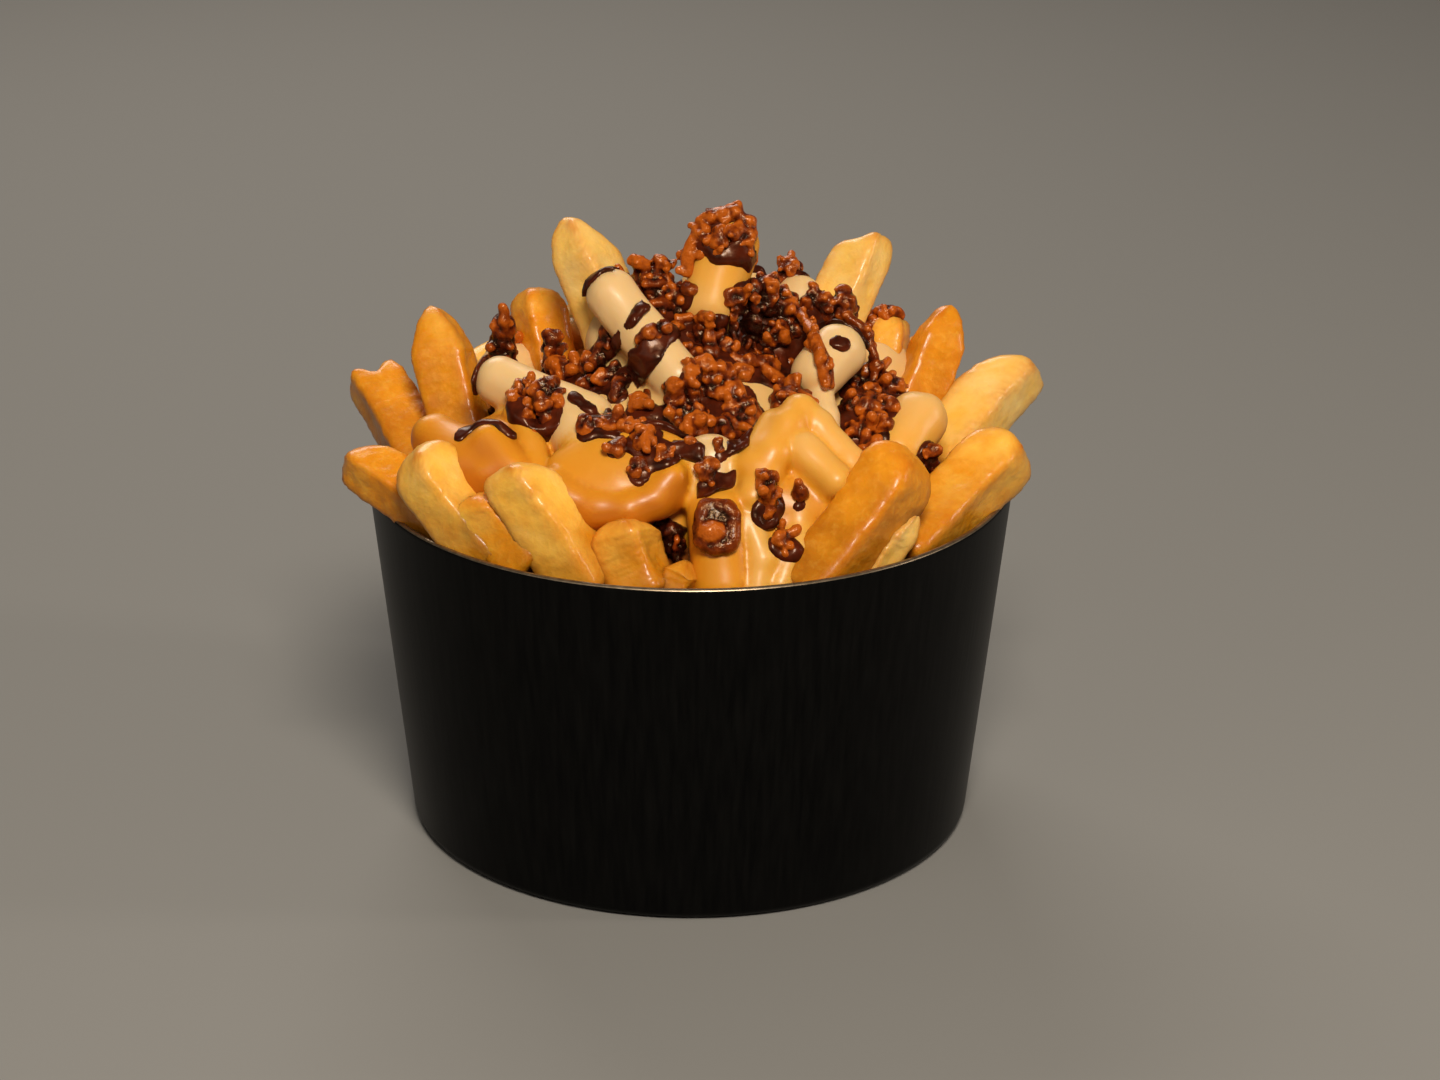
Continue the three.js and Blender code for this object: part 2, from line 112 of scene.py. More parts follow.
# Pools and swells of cheese: centre, half sizes, slope in degrees, creaminess.
POOLS = [
    ((-14, -44, 98.5), (17, 12, 6), 40, 0.1),
    ((20, -53, 83), (10, 9, 6), 40, 0.1),
    ((13, 46, 93), (17, 12, 7), -40, 0.1),
]
SWELLS = [
    ((-12, -1, 114), (12, 11, 11), 0, 0.9),
    ((20, 9, 111), (13, 11, 11), 0, 0.9),
    ((43, 18, 96), (10, 10, 12), 0, 0.8),
    ((-42, 20, 95), (10, 10, 11), 0, 0.8),
    ((-38, -25, 95), (14, 12, 10), 0, 0.0),
    ((20, -42, 91), (17, 12, 9), 30, 0.1),
    ((40, -7, 96), (12, 15, 9), 0, 0.7),
    ((-22, 42, 94), (13, 11, 8), -30, 0.4),
    ((-46, -35, 98), (13, 9, 6.5), 20, 0.0),
]

# Folds of cheese that run down the heap: radius, creaminess, and the places that each passes.
FOLDS = [
    (4.2, 0.25, [(14, -50, 95), (18, -43, 102.5), (21.5, -37, 107), (24, -33, 109)]),
    (3.8, 0.45, [(24, -33, 109), (28, -34.5, 106), (35, -41, 99.5), (39, -47, 93)]),
    (4.0, 0.0, [(-30, -48, 97), (-25.5, -50, 94.5), (-20, -52, 93)]),
    (4.0, 0.0, [(-20, -52, 93), (-13, -53, 93), (-7.5, -51, 95), (-4, -48, 99)]),
    (6.8, 0.1, [(6.5, -51, 91), (7.5, -58, 78)]),
    (6.0, 0.85, [(-27, -29, 103.5), (-22, -37, 101), (-17, -44, 97)]),
    (3.4, 0.1, [(-38, -28, 106), (-35, -36, 101), (-32.5, -44, 95)]),
    (3.0, 1.0, [(29, -15, 108), (30, -22, 103.5), (31, -29, 97)]),
    (3.6, 0.1, [(46, -17, 97), (42, -27, 92), (36, -35, 90)]),
    (3.0, 0.5, [(13, -53, 91), (16, -58, 84), (15, -61, 78)]),
    (3.2, 0.5, [(24, -49, 91), (24, -55, 85), (20, -60, 79)]),
]

# The rings of fries at the back, by the same seeded rule as in the frame.
BACK_SEED = 2024
BACK_OUTER = dict(
    count=9, first=33, step=14, tip_radius=73, tip_height=91, rise=13, foot_radius=52, foot_height=80,
)
BACK_INNER = dict(
    count=6, first=47, step=18, tip_radius=52, tip_height=103, rise=8, foot_radius=33, foot_height=93,
)
BACK_COATED = dict(
    count=3, first=62, step=30, tip_radius=42, tip_height=108, rise=7, foot_radius=20, foot_height=106,
)
BACK_SPREAD = dict(angle=5, swing=38, reach=3, height=4)
BACK_THICKNESS = (10.5, 14.5)
BACK_TAPER = (0.45, 0.8)
BACK_PALENESS = (0.3, 0.7, 0.5, 0.9, 0.4)
BACK_CREAM = (0.8, 0.6)
CUTS = ("flat", "point", "round", "chisel")
# Each bare fry is rolled by up to this, and its tip is cut askew by up to this.
MOST_ROLL = 0.5
MOST_SLANT = 0.5

# Heaps of crumbs that the photograph shows: middle, width, and how orange they are, from 0 dark to 1.
CRUMB_HEAPS = [
    # behind and between the two fries that lie to the left
    ((-42, 2, 116), 9, 0.35), ((-31.5, 2, 114), 6, 0.05), ((-31, 1, 111), 6, 0.3),
    ((-30, -2, 108), 7, 0.5), ((-26.5, -3, 107.5), 8, 0.55), ((-22.5, -7.5, 112), 7, 0.5),
    ((-20, -9, 116), 6, 0.05), ((-23.5, -12.5, 107.5), 7, 0.15), ((-18, -12.5, 110), 8, 0.65),
    ((-15.5, -15.5, 109.5), 6, 0.3), ((-16.5, -19, 107.5), 6, 0.05), ((-12, -24, 107), 7, 0.75),
    # between the high fry to the left and the top one
    ((-12, 0, 132), 7, 0.6), ((-7, 0, 132), 7, 0.6), ((-8.5, -2, 129), 6, 0.15),
    ((-7.5, -1, 125), 8, 0.45), ((-3.5, -1, 125), 7, 0.5), ((-0.5, -4.5, 127.5), 5, 0.05),
    ((-6, -4.5, 122.5), 6, 0.2), ((-1.5, -5.5, 120.5), 7, 0.6), ((3.5, -9, 122.5), 8, 0.6),
    ((5.5, -6.5, 118), 7, 0.5), ((1, -12, 115), 6, 0.1),
    # on the top fry
    ((9.5, 3, 143.5), 6, 0.8), ((7, 2, 142), 6.5, 0.75), ((12, 1.5, 141), 6, 0.7),
    ((4.5, 2, 141), 5.5, 0.6), ((3, 0, 138), 6.5, 0.7), ((6, -2.5, 138), 5, 0.3),
    ((10, -2, 138.5), 6.5, 0.6), ((12.5, -1, 136), 6, 0.5), ((0, 0, 134.5), 5, 0.85),
    # to the right of the top fry
    ((10, -5, 126.5), 8, 0.35), ((13, -1, 126), 8, 0.5), ((17, 2, 127), 7, 0.45),
    ((22, 14, 127), 9, 0.35), ((25, 5, 117.5), 5.5, 0.3), ((27, 1, 115.5), 5, 0.2),
    ((15.5, 3, 120.5), 8, 0.5), ((19.5, 5, 123), 7, 0.5), ((21, 3, 121), 7, 0.45),
    ((20, -2, 115.5), 10, 0.7), ((17, -10.5, 111.5), 7, 0.7), ((9, -8.5, 115), 8, 0.6),
    ((23.5, -16, 110), 7, 0.65), ((21, -21, 108.5), 6, 0.5), ((30, 7, 121), 8, 0.15),
    ((35, 8, 121.5), 8, 0.25), ((35, 6, 118.5), 6.5, 0.3), ((30.5, 7, 117.5), 6, 0.3),
    ((46, 24, 112.5), 8, 0.6), ((42.5, 24, 111), 6, 0.4),
    # on the wide band of the high fry
    ((-11.5, -19, 118.5), 4.5, 0.1), ((-9, -19.5, 120.5), 4.5, 0.15), ((-6, -17.5, 121.5), 4.5, 0.1),
    # in an arch at the foot of the high fry
    ((0, -24.5, 115), 6, 0.7), ((3.5, -21, 115), 6.5, 0.6), ((7, -20, 114), 6.5, 0.7),
    ((10, -21.5, 110.5), 6.5, 0.7), ((-3.6, -26.5, 112.5), 5.5, 0.75), ((-3.2, -27, 109), 5.5, 0.85),
    ((-2.7, -28, 106), 5, 0.8), ((8, -23, 109), 6.5, 0.7), ((9, -26, 106), 6.5, 0.6),
    ((10.5, -29, 103.5), 6.5, 0.5), ((7, -29.5, 103.5), 7, 0.3), ((1, -33, 106.5), 7.5, 0.8),
    ((9.5, -32.5, 102.5), 6, 0.1), ((13.5, -24.5, 106), 7, 0.5),
    # down the right
    ((37, -5, 105), 9, 0.5), ((42, -3, 108), 8, 0.45), ((45.5, -6, 105.5), 8, 0.35),
    ((45, -17, 103.5), 7, 0.3), ((40, -16.5, 103.5), 9, 0.3), ((36, -14.5, 103.5), 7, 0.4),
    ((37, -21, 100), 8, 0.65), ((40.5, -21, 100.5), 9, 0.65), ((40, -25, 97.5), 7.5, 0.55),
    ((43.5, -22, 101.5), 6, 0.15), ((53, -23.5, 96), 6.5, 0.1),
    # on the pool, on the fries in front and beside them
    ((-32.5, -28.5, 110), 11, 0.2), ((-22.5, -39.5, 107), 6, 0.12), ((-20, -38, 107.5), 6, 0.12),
    ((-17, -38.5, 107), 6.5, 0.5), ((-14, -39.5, 106.5), 6, 0.4), ((-9.5, -44, 105.5), 8.5, 0.6),
    ((-6, -46, 104), 7, 0.65), ((-15.5, -46, 103.5), 5.5, 0.05), ((-12, -49.5, 101.5), 6, 0.02),
    ((4.7, -48.5, 100), 5.5, 0.2), ((0.5, -43.5, 104.5), 3.5, 0.1), ((6, -45, 105), 3.5, 0.1),
    ((16.7, -51.5, 97), 8.5, 0.6), ((24.3, -50.4, 95.7), 4, 0.05), ((20.5, -56.5, 88), 8, 0.7),
    # in the gap under the pool's lip: dark crumbs that stand in for the shade there
    ((-4, -50.5, 88), 6, 0.05), ((-3, -52, 84.5), 6, 0.05),
]
# Crumbs on the far side, where the photograph doesn't reach: place in plan, width, how orange.
BACK_CRUMBS = [
    ((9, 36), 13, 0.5),
    ((28, 22), 11, 0.4),
    ((6, 22), 14, 0.5),
    ((-10, 20), 13, 0.5),
    ((-4, 44), 11, 0.5),
    ((-28, 34), 10, 0.4),
    ((22, 44), 9, 0.6),
    ((-18, 30), 8, 0.2),
    ((17, 30), 8, 0.7),
]
# Long bacon-like strips: radius, how orange, and the places each passes.
STRIPS = [
    (1.3, 0.6, [(19.4, 4.5, 122.9), (24.6, 1, 120.2), (27.8, -11.8, 119.2), (28.9, -18, 116),
                (30, -19.5, 110.5)]),
    (1.2, 0.55, [(27.3, -12.5, 119.3), (30.0, -16.6, 115.2), (31, -18, 110)]),
    (1.6, 0.75, [(14.8, -10.2, 112.7), (19.3, -13.4, 109.7), (23.4, -16, 107.8), (26, -20.5, 107.2)]),
    (1.5, 0.7, [(-6, -1, 129), (-3, -3, 124.5), (-1.5, -5, 120.5)]),
    (1.7, 0.85, [(1.5, 1, 139.5), (-0.5, -0.5, 135), (-1, -1.5, 131)]),
    (1.2, 0.2, [(35.5, 2, 119.5), (40, 0, 115.5), (42, -4, 110), (41, -7, 106)]),
]
# One glazed lump in a ring, on the front of the standing fry: its middle, half width and half height.
RING_LUMP = ((6.1, -58.6, 92), 5.2, 5.3)
RING_LEAN = 0.7
# Heaps less orange than this are of the dark glazed kind.
DARK_BELOW = 0.45

# Dark hollows that no strewn crumb fills: place in plan, reach.
HOLLOWS = [((13, 0), 4.5), ((23, -11), 3.5), ((4, -25), 3.0), ((-7, -27), 3.5)]

# Where dark sauce covers the heap: place in plan, half sizes.
SAUCE_PATCHES = [
    ((14, -4), (19, 13)),
    ((4, -24), (11, 8)),
    ((-14, -9), (10, 8)),
    ((-11, 6), (6, 6)),
    ((40, -8), (5, 16)),
    ((-13, -34), (10, 4.5)),
    ((-33, -29), (6.5, 6)),
    ((-6, 24), (12, 6)),
    ((20, 25), (8, 5)),
    ((-43, 23), (5, 5)),
    ((51, -33), (3, 3)),
]
DRIZZLE_RADIUS = 1.4
DRIZZLES = [
    [(-50.5, -36.5), (-47.5, -34), (-43, -35), (-39, -37.3)],
    [(-26, -29), (-20, -35), (-13, -40), (-7, -41)],
    [(32.5, -12.5), (34.5, -12.5)],
    [(20, 36), (8, 31), (-6, 34)],
]
# Bands of dark sauce over coated fries: which fry, the place along it, half width, lean, and from where
# to where across it.
BANDS = [
    (0, 0.0, 0.05, 0.0, -9, 9),
    (0, 0.38, 0.045, 0.35, -5.5, 1.0),
    (0, 0.61, 0.09, 0.35, -9, 9),
    (1, 0.0, 0.03, 0.2, -9, 3),
    (4, 0.20, 0.07, -0.5, -9, -2),
    (4, 0.17, 0.06, 0.5, 2.5, 9),
    (4, 0.36, 0.06, 0.25, -5, 4),
    (8, 0.02, 0.06, 0.2, -9, 3),
]

# The photograph's colours, as linear light.
FRY_CREAM = (1.0, 0.66, 0.22)
FRY_PALE = (1.0, 0.535, 0.075)
FRY_GOLD = (0.86, 0.315, 0.009)
FRY_DEEP = (0.56, 0.178, 0.004)
FRY_BROWN = (0.60, 0.150, 0.004)
SHADOW_BROWN = (0.12, 0.025, 0.003)
CHEESE_CREAM = (0.80, 0.51, 0.22)
CHEESE_GOLD = (0.82, 0.39, 0.055)
CHEESE_AMBER = (0.73, 0.275, 0.010)
CHEESE_BROWN = (0.54, 0.155, 0.004)
CRUMB_BLACK = (0.012, 0.002, 0.001)
CRUMB_RED = (0.080, 0.009, 0.002)
CRUMB_BROWN = (0.20, 0.029, 0.002)
CRUMB_ORANGE = (0.48, 0.098, 0.006)
SAUCE_DEEP = (0.022, 0.003, 0.001)
SAUCE_RED = (0.10, 0.013, 0.003)
TUB_BLACK = (0.0018, 0.0017, 0.0016)
TUB_GREY = (0.0045, 0.0042, 0.0038)
RIM_DARK = (0.20, 0.145, 0.09)
RIM_LIGHT = (0.36, 0.27, 0.18)
FLOOR_GREY = (0.24, 0.228, 0.21)
# The tints of the highlights on the crumbs and the dark sauce.
CRUMB_SHEEN = (1.0, 0.6, 0.3, 1)
SAUCE_SHEEN = (1.0, 0.6, 0.35, 1)

# Lamps: name, place and size in metres, power in watts, colour. All of them face the same place.
LAMPS = [
    ("key", (0.10, -0.78, 0.90), (0.30, 0.30), 12.0, (1.0, 0.93, 0.82)),
    ("side", (1.0, -0.12, 0.42), (0.12, 0.5), 2.2, (1.0, 0.93, 0.84)),
    ("fill", (-0.70, -0.70, 0.70), (0.6, 0.6), 0.8, (1.0, 0.95, 0.88)),
    ("back", (-0.25, 0.8, 0.7), (0.6, 0.4), 4.0, (1.0, 0.95, 0.88)),
]
LAMP_AIM = (0, 0, 0.09)
SKY_COLOUR = (1.0, 0.94, 0.86, 1)
SKY_STRENGTH = 0.07
FLOOR_HALF = 3.0


def random_source(seed):
    """The frame's seeded random numbers from 0 to 1."""
    state = seed
    while True:
        state = (state * 16807) % 2147483647
        yield state / 2147483647


def between(low, high, share):
    return low + (high - low) * share


def wall_radius(height):
    """The radius inside the tub's wall."""
    return between(TUB_BASE_RADIUS, TUB_TOP_RADIUS, height / TUB_HEIGHT) - TUB_WALL


def back_ring(random, count, first, step, tip_radius, tip_height, rise, foot_radius, foot_height):
    """A ring of fries round the back of the heap, drawn in the frame's order."""
    def spread(most):
        return between(-most, most, next(random))

    fries = []
    for k in range(count):
        angle = math.radians(first + k * step + spread(BACK_SPREAD["angle"]))
        foot_angle = angle + math.radians(spread(BACK_SPREAD["swing"]))
        reach = tip_radius + spread(BACK_SPREAD["reach"])
        height = tip_height + rise * math.sin(angle) ** 4 + spread(BACK_SPREAD["height"])
        tip = (reach * math.cos(angle), reach * math.sin(angle), height)
        foot = (foot_radius * math.cos(foot_angle), foot_radius * math.sin(foot_angle), foot_height)
        thick = between(*BACK_THICKNESS, next(random))
        fries.append((tip, foot, thick, between(*BACK_TAPER, next(random))))
    return fries


back_random = random_source(BACK_SEED)
back_bare = back_ring(back_random, **BACK_OUTER) + back_ring(back_random, **BACK_INNER)
bare_fries = BARE_FRIES + [
    (*fry, CUTS[k % len(CUTS)], BACK_PALENESS[k % len(BACK_PALENESS)]) for k, fry in enumerate(back_bare)
]
coated_fries = COATED_FRIES + [
    (tip, foot, thick, *BACK_CREAM) for tip, foot, thick, _ in back_ring(back_random, **BACK_COATED)
]
rolls_and_slants = [
    tuple(between(-most, most, next(back_random)) for most in (MOST_ROLL, MOST_SLANT)) for _ in bare_fries
]


def across_of(tip, foot, roll):
    """The direction along a fry and two directions across it, turned by the roll."""
    along = (Vector(foot) - Vector(tip)).normalized()
    level = Vector((0, 0, 1)).cross(along).normalized()
    up = along.cross(level)
    first = level * math.cos(roll) + up * math.sin(roll)
    second = up * math.cos(roll) - level * math.sin(roll)
    return along, first, second


# Fields: distance-like values on a regular grid of points, negative inside.

def smooth_max(a, b, blend):
    """The larger of two fields, with a smooth edge of this width."""
    share = np.clip(0.5 + 0.5 * (b - a) / blend, 0, 1)
    return a + (b - a) * share + blend * share * (1 - share)


class Field:
    """A block of grid points with a signed distance and a tone that blends with it."""

    def __init__(self, low, high, step, far=6.0):
        self.low = np.array(low, float)
        self.step = step
        self.size = np.ceil((np.array(high, float) - self.low) / step).astype(int) + 1
        self.value = np.full(self.size, far, np.float32)
        self.tone = np.zeros(self.size, np.float32)

    def window(self, low, high):
        """The slices and the point coordinates of the part of the grid inside a box."""
        start = np.clip(np.floor((np.array(low) - self.low) / self.step).astype(int), 0, self.size)
        stop = np.clip(np.ceil((np.array(high) - self.low) / self.step).astype(int) + 1, 0, self.size)
        if np.any(stop - start < 1):
            return None, None
        axes = [self.low[i] + self.step * np.arange(start[i], stop[i]) for i in range(3)]
        shapes = [(-1, 1, 1), (1, -1, 1), (1, 1, -1)]
        points = [axis.astype(np.float32).reshape(shape) for axis, shape in zip(axes, shapes)]
        return tuple(slice(a, b) for a, b in zip(start, stop)), points

    def add(self, box, distance, tone, blend):
        """Joins a shape, given by its distance function, with a smooth blend of this width."""
        where, points = self.window(np.array(box[0]) - 2 * blend, np.array(box[1]) + 2 * blend)
        if where is None:
            return
        new = distance(*points).astype(np.float32)
        old = self.value[where]
        share = np.clip(0.5 + 0.5 * (old - new) / blend, 0, 1)
        self.value[where] = old + (new - old) * share - blend * share * (1 - share)
        new_tone = tone(*points) if callable(tone) else tone
        self.tone[where] += (new_tone - self.tone[where]) * share

    def cut(self, box, distance, blend):
        """Takes a shape away, with a smooth edge of this width."""
        where, points = self.window(np.array(box[0]) - 2 * blend, np.array(box[1]) + 2 * blend)
        if where is not None:
            new = -distance(*points).astype(np.float32)
            self.value[where] = smooth_max(self.value[where], new, blend)

    def top(self):
        """The height of the highest inside point over each column, or NaN."""
        inside = self.value < 0
        count = self.size[2]
        highest = count - 1 - np.argmax(inside[:, :, ::-1], axis=2)
        above = np.minimum(highest + 1, count - 1)
        i, j = np.indices(highest.shape)
        low_value = self.value[i, j, highest]
        high_value = self.value[i, j, above]
        share = np.clip(low_value / np.where(low_value == high_value, 1, low_value - high_value), 0, 1)
        height = self.low[2] + self.step * (highest + share)
        return np.where(inside.any(axis=2), height, np.nan)

    def sample(self, grid, points):
        """Values of a grid at points, by the nearest grid point."""
        index = np.rint((points - self.low) / self.step).astype(int)
        index = np.clip(index, 0, self.size - 1)
        return grid[index[:, 0], index[:, 1], index[:, 2]]

    def mesh(self):
        """The zero surface as vertices in millimetres and quads, by surface nets."""
        inside = self.value < 0
        corners = [(i, j, k) for i in (0, 1) for j in (0, 1) for k in (0, 1)]
        cell = tuple(s - 1 for s in self.value.shape)

        def shifted(grid, offset):
            return grid[tuple(slice(o, o + c) for o, c in zip(offset, cell))]

        count = sum(shifted(inside, corner).astype(np.int8) for corner in corners)
        active = (count > 0) & (count < 8)
        place = np.argwhere(active)
        number = np.full(cell, -1, np.int32)
        number[active] = np.arange(len(place))
        total = np.zeros((len(place), 3))
        hits = np.zeros((len(place), 1))
        for a in corners:
            for axis in range(3):
                if a[axis]:
                    continue
                b = tuple(v + (i == axis) for i, v in enumerate(a))
                fa = shifted(self.value, a)[active]
                fb = shifted(self.value, b)[active]
                crosses = (fa < 0) != (fb < 0)
                share = np.where(crosses, fa / np.where(fa == fb, 1, fa - fb), 0)
                point = np.array(a, float) + np.outer(share, np.eye(3)[axis])
                total += point * crosses[:, None]
                hits += crosses[:, None]
        vertices = self.low + self.step * (place + total / hits)

        quads = []
        for axis in range(3):
            u, v = (axis + 1) % 3, (axis + 2) % 3
            ahead = [slice(None)] * 3
            behind = [slice(None)] * 3
            ahead[axis] = slice(1, None)
            behind[axis] = slice(None, -1)
            first = inside[tuple(behind)]
            second = inside[tuple(ahead)]
            for grows in (True, False):
                edge = np.argwhere((first & ~second) if grows else (~first & second))
                edge = edge[(edge[:, u] > 0) & (edge[:, v] > 0)]
                edge = edge[(edge[:, u] < cell[u]) & (edge[:, v] < cell[v])]
                around = []
                for du, dv in ((1, 1), (0, 1), (0, 0), (1, 0)):
                    c = edge.copy()
                    c[:, u] -= du
                    c[:, v] -= dv
                    around.append(number[c[:, 0], c[:, 1], c[:, 2]])
                quad = np.stack(around, axis=1)
                quads.append(quad if grows else quad[:, ::-1])
        return vertices, np.concatenate(quads)

    def noise(self, scale, seed):
        """Smooth noise from -1 to 1 on the grid, with features of this size."""
        rng = np.random.default_rng(seed)
        nodes = np.ceil(self.size * self.step / scale).astype(int) + 2
        grid = rng.uniform(-1, 1, nodes).astype(np.float32)
        for axis in range(3):
            place = np.arange(self.size[axis]) * self.step / scale
            index = place.astype(int)
            share = place - index
            share = share * share * (3 - 2 * share)
            shape = [1, 1, 1]
            shape[axis] = -1
            share = share.reshape(shape).astype(np.float32)
            ahead = np.take(grid, index + 1, axis=axis)
            grid = np.take(grid, index, axis=axis) * (1 - share) + ahead * share
        return grid


def box_round(points, margin):
    return np.min(points, axis=0) - margin, np.max(points, axis=0) + margin


def stick_shape(tip, foot, thick, roundness, roll=0.0):
    """A rounded square stick: its distance, and the parts along and across it, as functions."""
    directions = across_of(tip, foot, roll)
    length = (Vector(foot) - Vector(tip)).length
    half = thick / 2
    corner = half * roundness

    def parts(x, y, z):
        dx, dy, dz = x - tip[0], y - tip[1], z - tip[2]
        return [dx * d[0] + dy * d[1] + dz * d[2] for d in directions]

    def distance(x, y, z):
        t, a, b = parts(x, y, z)
        edges = [np.abs(t - length / 2) - length / 2, np.abs(a) - half, np.abs(b) - half]
        edges = [edge + corner for edge in edges]
        outside = np.sqrt(sum(np.maximum(edge, 0) ** 2 for edge in edges))
        within = np.minimum(np.maximum(np.maximum(edges[0], edges[1]), edges[2]), 0)
        return outside + within - corner

    return distance, parts, length


def ellipsoid_shape(centre, half, slope=0.0):
    """An ellipsoid, leaning back by the slope in degrees."""
    sine, cosine = math.sin(math.radians(slope)), math.cos(math.radians(slope))

    def distance(x, y, z):
        dx, dy, dz = x - centre[0], y - centre[1], z - centre[2]
        down = dy * cosine + dz * sine
        out = dz * cosine - dy * sine
        reach = np.sqrt((dx / half[0]) ** 2 + (down / half[1]) ** 2 + (out / half[2]) ** 2)
        return (reach - 1) * min(half)

    return distance


def turned_ellipsoid_shape(centre, half, turn):
    """An ellipsoid turned by a rotation matrix."""
    def distance(x, y, z):
        dx, dy, dz = x - centre[0], y - centre[1], z - centre[2]
        total = sum(((dx * row[0] + dy * row[1] + dz * row[2]) / h) ** 2 for row, h in zip(turn, half))
        return (np.sqrt(total) - 1) * min(half)

    return distance


def capsule_shape(start, end, radius):
    start = np.array(start, float)
    step = np.array(end, float) - start
    square = float(step @ step)

    def distance(x, y, z):
        dx, dy, dz = x - start[0], y - start[1], z - start[2]
        share = np.clip((dx * step[0] + dy * step[1] + dz * step[2]) / square, 0, 1)
        away = (dx - share * step[0]) ** 2 + (dy - share * step[1]) ** 2 + (dz - share * step[2]) ** 2
        return np.sqrt(away) - radius

    return distance


def core_height(radius):
    return CORE_PEAK - CORE_SLOPE * np.hypot(radius, CORE_BLUNT)


def blanket_reach(angle):
    return BLANKET_RADIUS + BLANKET_LOBE * np.sin(BLANKET_LOBES * angle) * np.cos(2 * angle + 1)


def blanket_shape(x, y, z):
    radius = np.hypot(x, y)
    share = np.minimum(1, radius / blanket_reach(np.arctan2(y, x)))
    ground = core_height(radius)
    top = ground + BLANKET_THICKNESS * np.sqrt(1 - share ** 6)
    out = radius - blanket_reach(np.arctan2(y, x))
    return np.maximum(np.maximum(z - top, ground - 3 - z) * 0.85, out)


# The blanket's tones at its edge and on top, the height up to which it is amber and over which it pales,
# and the box round it.
BLANKET_TONES = (0.1, 0.7)
BLANKET_AMBER_UP_TO = 86
BLANKET_PALES_OVER = 12
BLANKET_BOX = ((-60, -60, 72), (60, 60, 125))


def blanket_tone(x, y, z):
    """Amber at the edge, creamy higher up."""
    share = np.clip((z - BLANKET_AMBER_UP_TO) / BLANKET_PALES_OVER, 0, 1)
    return between(*BLANKET_TONES, share)


# Waves on the cheese: the size, seed and height of each.
CHEESE_WAVES = [(9.0, 11, 0.40), (4.0, 12, 0.15)]
CHEESE_STEP = 0.75
CHEESE_LOW = (-68, -68, 70)
CHEESE_HIGH = (64, 66, 152)


def add_rod(field, places, radius, tone, blend):
    """A bent rod through some places."""
    for start, end in zip(places[:-1], places[1:]):
        field.add(box_round([start, end], radius + 1), capsule_shape(start, end, radius), tone, blend)


def cheese_field():
    """All the cheese, with the fries under it, as one blended form."""
    field = Field(CHEESE_LOW, CHEESE_HIGH, CHEESE_STEP)
    field.add(BLANKET_BOX, blanket_shape, blanket_tone, 1.0)
    for centre, half, slope, tone in SWELLS:
        field.add(box_round([centre], max(half) + 2), ellipsoid_shape(centre, half, slope), tone, 5.0)
    for tip, foot, thick, tip_tone, foot_tone in coated_fries:
        distance, parts, length = stick_shape(tip, foot, thick, 0.92)

        def tone(x, y, z, parts=parts, length=length, a=tip_tone, b=foot_tone):
            return between(a, b, np.clip(parts(x, y, z)[0] / length, 0, 1) ** 1.5)

        field.add(box_round([tip, foot], thick), distance, tone, 2.2)
    for centre, half, slope, tone in POOLS:
        field.add(box_round([centre], max(half) + 2), ellipsoid_shape(centre, half, slope), tone, 2.5)
    for radius, tone, places in FOLDS:
        add_rod(field, places, radius, tone, 1.1)
    field.value += sum(height * field.noise(size, seed) for size, seed, height in CHEESE_WAVES)
    return field


# Mesh pieces.

def link(piece):
    bpy.context.scene.collection.objects.link(piece)
    return piece


def mesh_piece(name, vertices, faces, materials, slot, *nodes):
    """A smooth mesh from vertices in millimetres, riding on the one body in place of CAD nodes."""
    mesh = bpy.data.meshes.new(name)
    points = np.asarray(vertices, np.float32) * MM
    sizes = np.fromiter((len(face) for face in faces), np.int32, len(faces))
    corners = np.concatenate([np.asarray(face, np.int32) for face in faces])
    mesh.vertices.add(len(points))
    mesh.vertices.foreach_set("co", points.ravel())
    mesh.loops.add(len(corners))
    mesh.loops.foreach_set("vertex_index", corners)
    mesh.polygons.add(len(sizes))
    mesh.polygons.foreach_set("loop_start", (np.cumsum(sizes) - sizes).astype(np.int32))
    mesh.polygons.foreach_set("use_smooth", np.ones(len(sizes), bool))
    mesh.update(calc_edges=True)
    mesh.validate()
    piece = link(bpy.data.objects.new(name, mesh))
    for material in materials:
        mesh.materials.append(material)
    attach(piece, "root")
    if nodes:
        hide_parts(*nodes)
    return piece


def add_attribute(piece, name, values):
    attribute = piece.data.attributes.new(name, "FLOAT", "POINT")
    attribute.data.foreach_set("value", np.asarray(values, np.float32))


def bulge(vertices, faces, reach, rounds):
    """How far each point stands out from the form smoothed over this reach, and the normals."""
    edges = np.concatenate([faces[:, [k, (k + 1) % 4]] for k in range(4)])
    count = np.bincount(edges.ravel(), minlength=len(vertices)).astype(float)[:, None]

    def neighbours(values):
        total = np.zeros_like(values)
        for axis in range(values.shape[1]):
            total[:, axis] = np.bincount(edges[:, 0], values[edges[:, 1], axis], len(values))
            total[:, axis] += np.bincount(edges[:, 1], values[edges[:, 0], axis], len(values))
        return total / np.maximum(count, 1)

    a, b, c = (vertices[faces[:, k]] for k in (0, 1, 2))
    face_normal = np.cross(b - a, c - a)
    normal = np.zeros_like(vertices)
    for axis in range(3):
        for k in range(4):
            normal[:, axis] += np.bincount(faces[:, k], face_normal[:, axis], len(vertices))
    normal /= np.linalg.norm(normal, axis=1, keepdims=True) + 1e-9
    smooth = vertices
    for _ in range(reach):
        smooth = neighbours(smooth)
    out = np.sum((vertices - smooth) * normal, axis=1, keepdims=True)
    for _ in range(rounds):
        out = neighbours(out)
    return out[:, 0], normal


# Materials.

